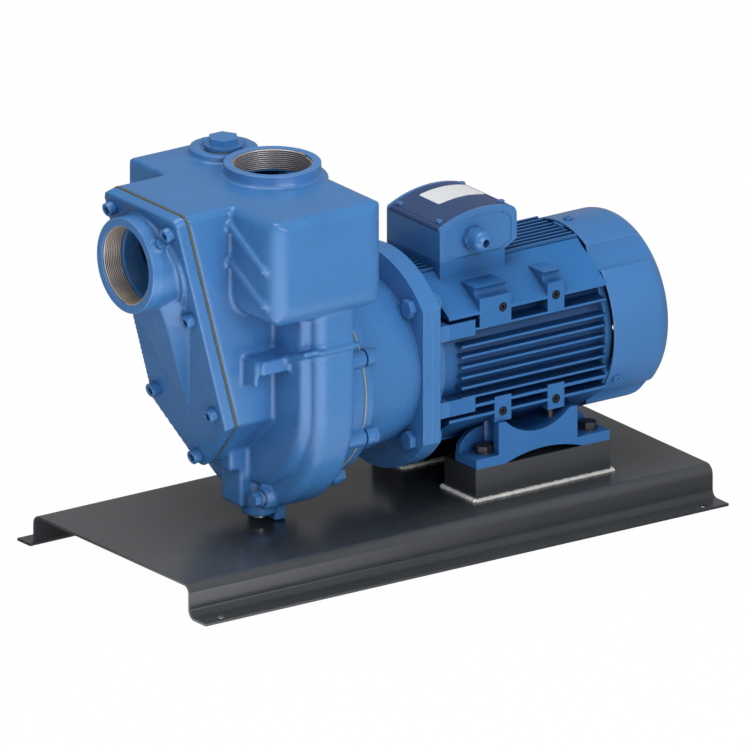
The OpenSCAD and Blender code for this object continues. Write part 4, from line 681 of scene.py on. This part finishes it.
# One template on every site, each turned by chance about its own axis
def buildFastenerNodes():
    tree, start, end = newTree("fastenersOnSites", {
        "Sites": "Geometry", "Template": "Object", "Finish": "Material", "Spin": "Float",
        "Seed": "Int"}, "Fasteners")
    link = tree.links.new
    shape = addNode(tree, "GeometryNodeObjectInfo", -600, -200)
    facing = addNode(tree, "GeometryNodeInputNamedAttribute", -900, -400, {"Name": "facing"},
                     data_type="FLOAT_VECTOR")
    aim = addNode(tree, "FunctionNodeEulerToRotation", -600, -400)
    place = addNode(tree, "GeometryNodeInstanceOnPoints", -300, 0)
    chance = addNode(tree, "FunctionNodeRandomValue", -600, -600, data_type="FLOAT")
    about = addNode(tree, "ShaderNodeCombineXYZ", -300, -500)
    spin = addNode(tree, "FunctionNodeEulerToRotation", -100, -400)
    turn = addNode(tree, "GeometryNodeRotateInstances", 100, 0)
    link(start.outputs["Sites"], place.inputs["Points"])
    link(start.outputs["Template"], shape.inputs["Object"])
    link(shape.outputs["Geometry"], place.inputs["Instance"])
    link(facing.outputs["Attribute"], aim.inputs[0])
    link(aim.outputs[0], place.inputs["Rotation"])
    link(start.outputs["Spin"], chance.inputs[3])
    link(start.outputs["Seed"], chance.inputs["Seed"])
    link(chance.outputs[1], about.inputs["Z"])
    link(about.outputs[0], spin.inputs[0])
    link(place.outputs["Instances"], turn.inputs["Instances"])
    link(spin.outputs[0], turn.inputs["Rotation"])
    closeTree(tree, start, end, turn.outputs["Instances"])
    return tree


fastenerNodes = buildFastenerNodes()


def fasten(spec):
    templateName = spec["name"] + "Template"
    template = newThing(templateName, spec["shape"](templateName, spec))
    mesh = bpy.data.meshes.new(spec["name"] + "Sites")
    mesh.from_pydata([[c * mm for c in place] for place, direction in spec["sites"]], [], [])
    facing = mesh.attributes.new("facing", "FLOAT_VECTOR", "POINT")
    for k, (place, direction) in enumerate(spec["sites"]):
        facing.data[k].vector = Vector(direction).to_track_quat("Z", "X").to_euler()
    thing = runNodes(spec["name"], mesh, fastenerNodes, {
        "Template": template, "Finish": finishes[spec["finish"]], "Spin": spec["spin"],
        "Seed": spec["seed"]})
    bpy.data.objects.remove(template)
    closePiece(thing, spec["finish"], spec["stands"])


# Sites evenly about the shaft's axis, in mm and degrees, facing along X one way or the other
axisZ = 194


def aroundShaft(x, radius, first, count, facing):
    angles = [math.radians(first + 360 / count * k) for k in range(count)]
    places = [(x, radius * math.cos(a), axisZ + radius * math.sin(a)) for a in angles]
    return [(place, (facing, 0, 0)) for place in places]


# The suction cover leans about a place on its inner face; its screws stand square to it
coverFrame = {"place": (-234, 186), "lean": math.radians(14.8), "front": -15}
coverOut = (-math.cos(coverFrame["lean"]), 0, -math.sin(coverFrame["lean"]))


def onCover(x, y, z):
    lean = coverFrame["lean"]
    return (coverFrame["place"][0] + x * math.cos(lean) - z * math.sin(lean), y,
            coverFrame["place"][1] + x * math.sin(lean) + z * math.cos(lean))


coverSites = [(y, z) for z in (9.8, 128.4, 237.1) for y in (-54, 54)] + [(0, -58)]
footSites = [(x, y) for x in (92, 232) for y in (-79, 79)]
footTop = 87.6
blueHead = {"finish": "castBlue", "slot": "cast_blue", "spin": 1.0}
darkHead = {"finish": "darkSteel", "slot": "dark_steel", "spin": 1.0}

fasteners = [
    {"name": "lanternBolts", "shape": hexBolt, "across": 16, "height": 7, "shank": 5,
     "length": 28, **blueHead, "seed": 3, "stands": ["lantern_bolts"],
     "sites": aroundShaft(x=-81, radius=118.5, first=22.5, count=8, facing=1)},
    {"name": "flangeBolts", "shape": hexBolt, "across": 19, "height": 7.5, "shank": 6,
     "length": 37, **blueHead, "seed": 5, "stands": ["flange_bolts"],
     "sites": aroundShaft(x=-3, radius=107.5, first=45, count=4, facing=-1)},
    {"name": "flangeNuts", "shape": hexNut, "across": 19, "height": 11, "bore": 6.05,
     **blueHead, "seed": 8, "stands": ["flange_nuts"],
     "sites": aroundShaft(x=20, radius=107.5, first=45, count=4, facing=1)},
    {"name": "coverScrews", "shape": socketScrew, "radius": 8, "height": 10, "socket": 8,
     "depth": 6, "shank": 5, "length": 35, **blueHead, "seed": 13, "stands": ["cover_screws"],
     "sites": [(onCover(coverFrame["front"], y, z), coverOut) for y, z in coverSites]},
    {"name": "footBolts", "shape": hexBolt, "across": 17, "height": 7, "shank": 5,
     "length": 18.6, "washer": 10, **darkHead, "seed": 21, "stands": ["foot_bolts"],
     "sites": [((x, y, footTop), (0, 0, 1)) for x, y in footSites]},
]
for spec in fasteners:
    fasten(spec)
print(len(fasteners), "sets of fasteners made")


# Rings turned on a lathe: the two port rims, as radius and height along the port, in mm
lathe = {"points": 96, "crease": math.radians(35)}
portRims = [
    {"name": "dischargeRim", "place": (-134.6, 0, 0), "alongX": False, "profile": [
        (44.0, 444), (45.0, 444), (53.0, 444), (53.5, 443.5), (53.5, 434.5), (54.0, 433.0),
        (55.2, 431.8), (57.2, 431.1), (57.2, 429.5), (45.6, 429.5), (45.6, 418.5),
        (44.0, 418.5)]},
    {"name": "suctionRim", "place": (0, 0, 363), "alongX": True, "profile": [
        (44.0, -331.2), (44.8, -332), (52.9, -332), (53.7, -331.2), (53.7, -318), (45.4, -318),
        (45.4, -306.6), (44.0, -306.6)]},
]


def latheRim(spec):
    rings = []
    for radius, height in spec["profile"]:
        ring = roundRing(radius * mm, height * mm, lathe["points"])
        if spec["alongX"]:
            ring = [(z, y, -x) for x, y, z in ring]
        rings.append([tuple(c + p * mm for c, p in zip(point, spec["place"])) for point in ring])
    thing = newThing(spec["name"], meshFromRings(spec["name"], rings, joined=True))
    thing.data.shade_smooth()
    thing.data.set_sharp_from_angle(angle=lathe["crease"])
    closePiece(thing, "rimBlue")


for spec in portRims:
    latheRim(spec)


# Geometry Nodes: a ridge wound inside a port, as its pipe thread
threadDetail = {"pointsPerTurn": 72, "ridgeCorners": 4}


def buildThreadNodes(spec):
    tree, start, end = newTree("portThread", {
        "Start": "Geometry", "Pitch": "Float", "Turns": "Float", "Root Radius": "Float",
        "Ridge Depth": "Float", "Ridge Share": "Float", "Place": "Vector", "Turn": "Vector",
        "Finish": "Material"}, "Thread")
    link = tree.links.new
    rise = addNode(tree, "ShaderNodeMath", -600, -200, operation="MULTIPLY")
    coil = addNode(tree, "GeometryNodeCurveSpiral", -400, 100, {
        "Resolution": spec["pointsPerTurn"]})
    upright = addNode(tree, "GeometryNodeSetCurveNormal", -150, 100, mode="Z_UP")
    half = addNode(tree, "ShaderNodeMath", -600, -400, operation="MULTIPLY")
    size = addNode(tree, "ShaderNodeCombineXYZ", -400, -400, {"Z": 1.0})
    ridge = addNode(tree, "GeometryNodeCurvePrimitiveCircle", -400, -250, {
        "Resolution": spec["ridgeCorners"], "Radius": 1.0})
    shaped = addNode(tree, "GeometryNodeTransform", -150, -250)
    sweep = addNode(tree, "GeometryNodeCurveToMesh", 150, 0, {"Fill Caps": True})
    move = addNode(tree, "GeometryNodeTransform", 400, 0)
    link(start.outputs["Pitch"], rise.inputs[0])
    link(start.outputs["Turns"], rise.inputs[1])
    link(start.outputs["Turns"], coil.inputs["Rotations"])
    link(start.outputs["Root Radius"], coil.inputs["Start Radius"])
    link(start.outputs["Root Radius"], coil.inputs["End Radius"])
    link(rise.outputs[0], coil.inputs["Height"])
    link(coil.outputs[0], upright.inputs["Curve"])
    link(start.outputs["Pitch"], half.inputs[0])
    link(start.outputs["Ridge Share"], half.inputs[1])
    link(start.outputs["Ridge Depth"], size.inputs["X"])
    link(half.outputs[0], size.inputs["Y"])
    link(ridge.outputs[0], shaped.inputs["Geometry"])
    link(size.outputs[0], shaped.inputs["Scale"])
    link(upright.outputs["Curve"], sweep.inputs["Curve"])
    link(shaped.outputs["Geometry"], sweep.inputs["Profile Curve"])
    link(sweep.outputs["Mesh"], move.inputs["Geometry"])
    link(start.outputs["Place"], move.inputs["Translation"])
    link(start.outputs["Turn"], move.inputs["Rotation"])
    closeTree(tree, start, end, move.outputs["Geometry"])
    return tree


threadNodes = buildThreadNodes(threadDetail)
portThread = {
    "Pitch": 2.309 * mm, "Turns": 10.0, "Root Radius": 43.98 * mm, "Ridge Depth": 1.5 * mm,
    "Ridge Share": 0.40, "Finish": finishes["threadMetal"],
}
threads = [
    {"name": "dischargeThread", "place": (-134.6, 0, 419.6), "turn": (0, 0, 0)},
    {"name": "suctionThread", "place": (-330.6, 0, 363), "turn": (0, math.pi / 2, 0)},
]
for spec in threads:
    thing = runNodes(spec["name"], bpy.data.meshes.new(spec["name"]), threadNodes, {
        **portThread, "Place": Vector(spec["place"]) * mm, "Turn": Vector(spec["turn"])})
    closePiece(thing, "threadMetal")
print("port rims and threads made")


# Geometry Nodes: overlapping ripples of weld along a path
rippleDetail = {"Segments": 14, "Rings": 9, "Radius": 1.0}


def buildWeldNodes(spec):
    tree, start, end = newTree("weldRipples", {
        "Path": "Geometry", "Step": "Float", "Ripple": "Vector", "Unevenness": "Float",
        "Seed": "Int", "Finish": "Material"}, "Weld")
    link = tree.links.new
    path = addNode(tree, "GeometryNodeMeshToCurve", -650, 100)
    dots = addNode(tree, "GeometryNodeCurveToPoints", -400, 100, mode="LENGTH")
    ball = addNode(tree, "GeometryNodeMeshUVSphere", -400, -200, spec)
    smooth = addNode(tree, "GeometryNodeSetShadeSmooth", -200, -200)
    aim = addNode(tree, "FunctionNodeAlignRotationToVector", -150, -50, axis="X")
    low = addNode(tree, "ShaderNodeMath", -650, -400, {0: 1.0}, operation="SUBTRACT")
    high = addNode(tree, "ShaderNodeMath", -650, -550, {0: 1.0}, operation="ADD")
    chance = addNode(tree, "FunctionNodeRandomValue", -400, -450, data_type="FLOAT")
    size = addNode(tree, "ShaderNodeVectorMath", -150, -350, operation="SCALE")
    place = addNode(tree, "GeometryNodeInstanceOnPoints", 150, 0)
    link(start.outputs["Path"], path.inputs["Mesh"])
    link(path.outputs["Curve"], dots.inputs["Curve"])
    link(start.outputs["Step"], dots.inputs["Length"])
    link(dots.outputs["Points"], place.inputs["Points"])
    link(dots.outputs["Tangent"], aim.inputs["Vector"])
    link(aim.outputs["Rotation"], place.inputs["Rotation"])
    link(ball.outputs["Mesh"], smooth.inputs["Geometry"])
    link(smooth.outputs["Geometry"], place.inputs["Instance"])
    link(start.outputs["Unevenness"], low.inputs[1])
    link(start.outputs["Unevenness"], high.inputs[1])
    link(low.outputs[0], chance.inputs[2])
    link(high.outputs[0], chance.inputs[3])
    link(start.outputs["Seed"], chance.inputs["Seed"])
    link(start.outputs["Ripple"], size.inputs[0])
    link(chance.outputs[1], size.inputs["Scale"])
    link(size.outputs[0], place.inputs["Scale"])
    closeTree(tree, start, end, place.outputs["Instances"])
    return tree


weldNodes = buildWeldNodes(rippleDetail)

# The beads run round each riser's foot: how far out and up their middle lies, in metres
weldBead = {
    "out": 0.0005, "up": 0.0006, "baseTop": 0.039, "corner": 0.0012, "cornerSteps": 5,
    "step": 0.0018, "ripple": (0.0017, 0.0030, 0.0026), "unevenness": 0.2,
}
welds = [
    {"name": "weldRipplesNear", "node": "riser_near", "seed": 4, "stands": ["weld_beads"]},
    {"name": "weldRipplesFar", "node": "riser_far", "seed": 9, "stands": []},
]


def weldPath(node, spec):
    low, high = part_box(node)
    x0, y0, x1, y1 = (low[0] - spec["out"], low[1] - spec["out"],
                      high[0] + spec["out"], high[1] + spec["out"])
    height, corner, steps = spec["baseTop"] + spec["up"], spec["corner"], spec["cornerSteps"]
    points = []
    for cx, cy, a in ((x1, y1, 0), (x0, y1, 90), (x0, y0, 180), (x1, y0, 270)):
        for k in range(steps + 1):
            angle = math.radians(a + 90 * k / steps)
            points.append((cx + corner * math.cos(angle), cy + corner * math.sin(angle), height))
    mesh = bpy.data.meshes.new("weldPath")
    mesh.from_pydata(points, [(k, (k + 1) % len(points)) for k in range(len(points))], [])
    return mesh


for spec in welds:
    thing = runNodes(spec["name"], weldPath(spec["node"], weldBead), weldNodes, {
        "Step": weldBead["step"], "Ripple": Vector(weldBead["ripple"]),
        "Unevenness": weldBead["unevenness"], "Seed": spec["seed"],
        "Finish": finishes["weldMetal"]})
    closePiece(thing, "weldMetal", spec["stands"])
print("weld ripples laid")


# The label's place on the lid: a bare plate that follows the arch, in mm
label = {
    "x": (84, 146), "y": (-6, 32), "steps": 24,
    "crown": 356, "arch": 132, "peak": 114,
    "thickness": 0.5, "sunk": 0.3, "endInset": 1.2,
}


def labelPlate(spec):
    x0, x1 = spec["x"]
    y0, y1 = spec["y"]
    steps, arch = spec["steps"], spec["arch"]
    rings = []
    for k in range(steps + 1):
        x = x0 + (x1 - x0) * k / steps
        inset = spec["endInset"] if k in (0, steps) else 0
        z = spec["crown"] - arch + math.sqrt(arch ** 2 - (x - spec["peak"]) ** 2)
        low, high = z - spec["sunk"], z + spec["thickness"]
        rings.append([(x * mm, y * mm, height * mm) for y, height in (
            (y0 + inset, low), (y1 - inset, low), (y1 - inset, high), (y0 + inset, high))])
    thing = newThing("blankLabel", meshFromRings("blankLabel", rings))
    closePiece(thing, "labelPlate")


labelPlate(label)

# Castings: the CAD solid's surface closed over a fine grid and softened, machined faces left crisp.
# Before that, each port's mouth makes room for its rim and thread: the face within "collar" that
# lies beyond a plane drops to its seat, and the bore's wall moves outwards
dischargeMouth = {
    "centre": (-0.1346, 0, 0), "axis": 2, "outward": 1, "collar": 0.0578, "beyond": 0.4311,
    "seat": 0.431, "bore": 0.04246, "cleared": 0.0452, "span": (0.4170, 0.4460),
}
suctionMouth = {
    "centre": (0, 0, 0.363), "axis": 0, "outward": -1, "collar": 0.0545, "beyond": -0.3305,
    "seat": -0.3308, "bore": 0.04246, "cleared": 0.0452, "span": (-0.3330, -0.3050),
}
boreTolerance = 0.0006


def openMouth(point, mouth):
    axis, centre, outward = mouth["axis"], mouth["centre"], mouth["outward"]
    across = [k for k in range(3) if k != axis]
    reach = math.hypot(*(point[k] - centre[k] for k in across))
    if reach < mouth["collar"] and outward * point[axis] > outward * mouth["beyond"]:
        point[axis] = mouth["seat"]
    low, high = mouth["span"]
    if abs(reach - mouth["bore"]) < boreTolerance and low < point[axis] < high:
        scale = mouth["cleared"] / reach
        for k in across:
            point[k] = centre[k] + (point[k] - centre[k]) * scale


# Machined joints soften less: casing to lantern, and casing to cover on both sides of the gasket
crisp = {"lanternFace": -0.091, "gasket": 0.001, "reach": 0.003, "share": 0.25}


def beyondCover(point):
    lean = coverFrame["lean"]
    x, z = coverFrame["place"]
    return (point[0] - x * mm) * math.cos(lean) + (point[2] - z * mm) * math.sin(lean)


def casingJoint(point):
    lantern = abs(point[0] - crisp["lanternFace"])
    return min(lantern, abs(beyondCover(point) - crisp["gasket"]))


def coverJoint(point):
    return abs(beyondCover(point) + crisp["gasket"])


# The swell under the suction port: a flat front that narrows to a point, with slanting flanks
swell = {"tip": -12, "top": 120, "reach": 30, "rise": 19, "front": 30, "foot": 48, "sunk": 1}


def addSwell(work):
    grow = swell["rise"] * swell["reach"] / (swell["top"] - swell["tip"])
    levels = ((swell["top"], swell["rise"]), (swell["top"] + swell["reach"], swell["rise"] + grow))
    points = [(swell["sunk"], 0, swell["tip"])]
    for side in (-1, 1):
        for height, out in levels:
            points += [(swell["sunk"], side * swell["foot"], height),
                       (-out, side * swell["front"], height)]
    places = [onCover(coverFrame["front"] + x, y, z) for x, y, z in points]
    corners = [work.verts.new([c * mm for c in place]) for place in places]
    hull = bmesh.ops.convex_hull(work, input=corners, use_existing_faces=False)
    faces = [part for part in hull["geom"] if isinstance(part, bmesh.types.BMFace)]
    bmesh.ops.recalc_face_normals(work, faces=faces)


castings = [
    {"name": "casingSkin", "node": "pump_casing", "grid": 0.0021, "rounds": 8,
     "triangles": 180000, "mouth": dischargeMouth, "joint": casingJoint},
    {"name": "coverSkin", "node": "suction_cover", "grid": 0.0016, "rounds": 3,
     "triangles": 120000, "mouth": suctionMouth, "joint": coverJoint, "extra": addSwell},
]
skinDetail = {"weldDistance": 0.000002, "softenFactor": 0.5}


def castSkin(spec):
    work = bmesh.new()
    work.from_mesh(nodes[spec["node"]].data)
    bmesh.ops.remove_doubles(work, verts=work.verts, dist=skinDetail["weldDistance"])
    for vertex in work.verts:
        openMouth(vertex.co, spec["mouth"])
    if "extra" in spec:
        spec["extra"](work)
    mesh = bpy.data.meshes.new(spec["name"])
    work.to_mesh(mesh)
    work.free()
    thing = newThing(spec["name"], mesh)
    grid = thing.modifiers.new("grid", "REMESH")
    grid.mode = "VOXEL"
    grid.voxel_size = spec["grid"]
    evaluated(thing)
    softness = thing.vertex_groups.new(name="softness")
    for vertex in thing.data.vertices:
        share = crisp["share"] if spec["joint"](vertex.co) < crisp["reach"] else 1.0
        softness.add([vertex.index], share, "REPLACE")
    soften = thing.modifiers.new("soften", "SMOOTH")
    soften.factor = skinDetail["softenFactor"]
    soften.iterations = spec["rounds"]
    soften.vertex_group = "softness"
    thin = thing.modifiers.new("thin", "DECIMATE")
    thin.ratio = min(1.0, spec["triangles"] / (2 * len(thing.data.polygons)))
    evaluated(thing)
    thing.data.shade_smooth()
    print(spec["name"], "has", sum(len(f.vertices) - 2 for f in thing.data.polygons), "triangles")
    closePiece(thing, "castBlue", [spec["node"]])


for spec in castings:
    castSkin(spec)
print("castings softened")
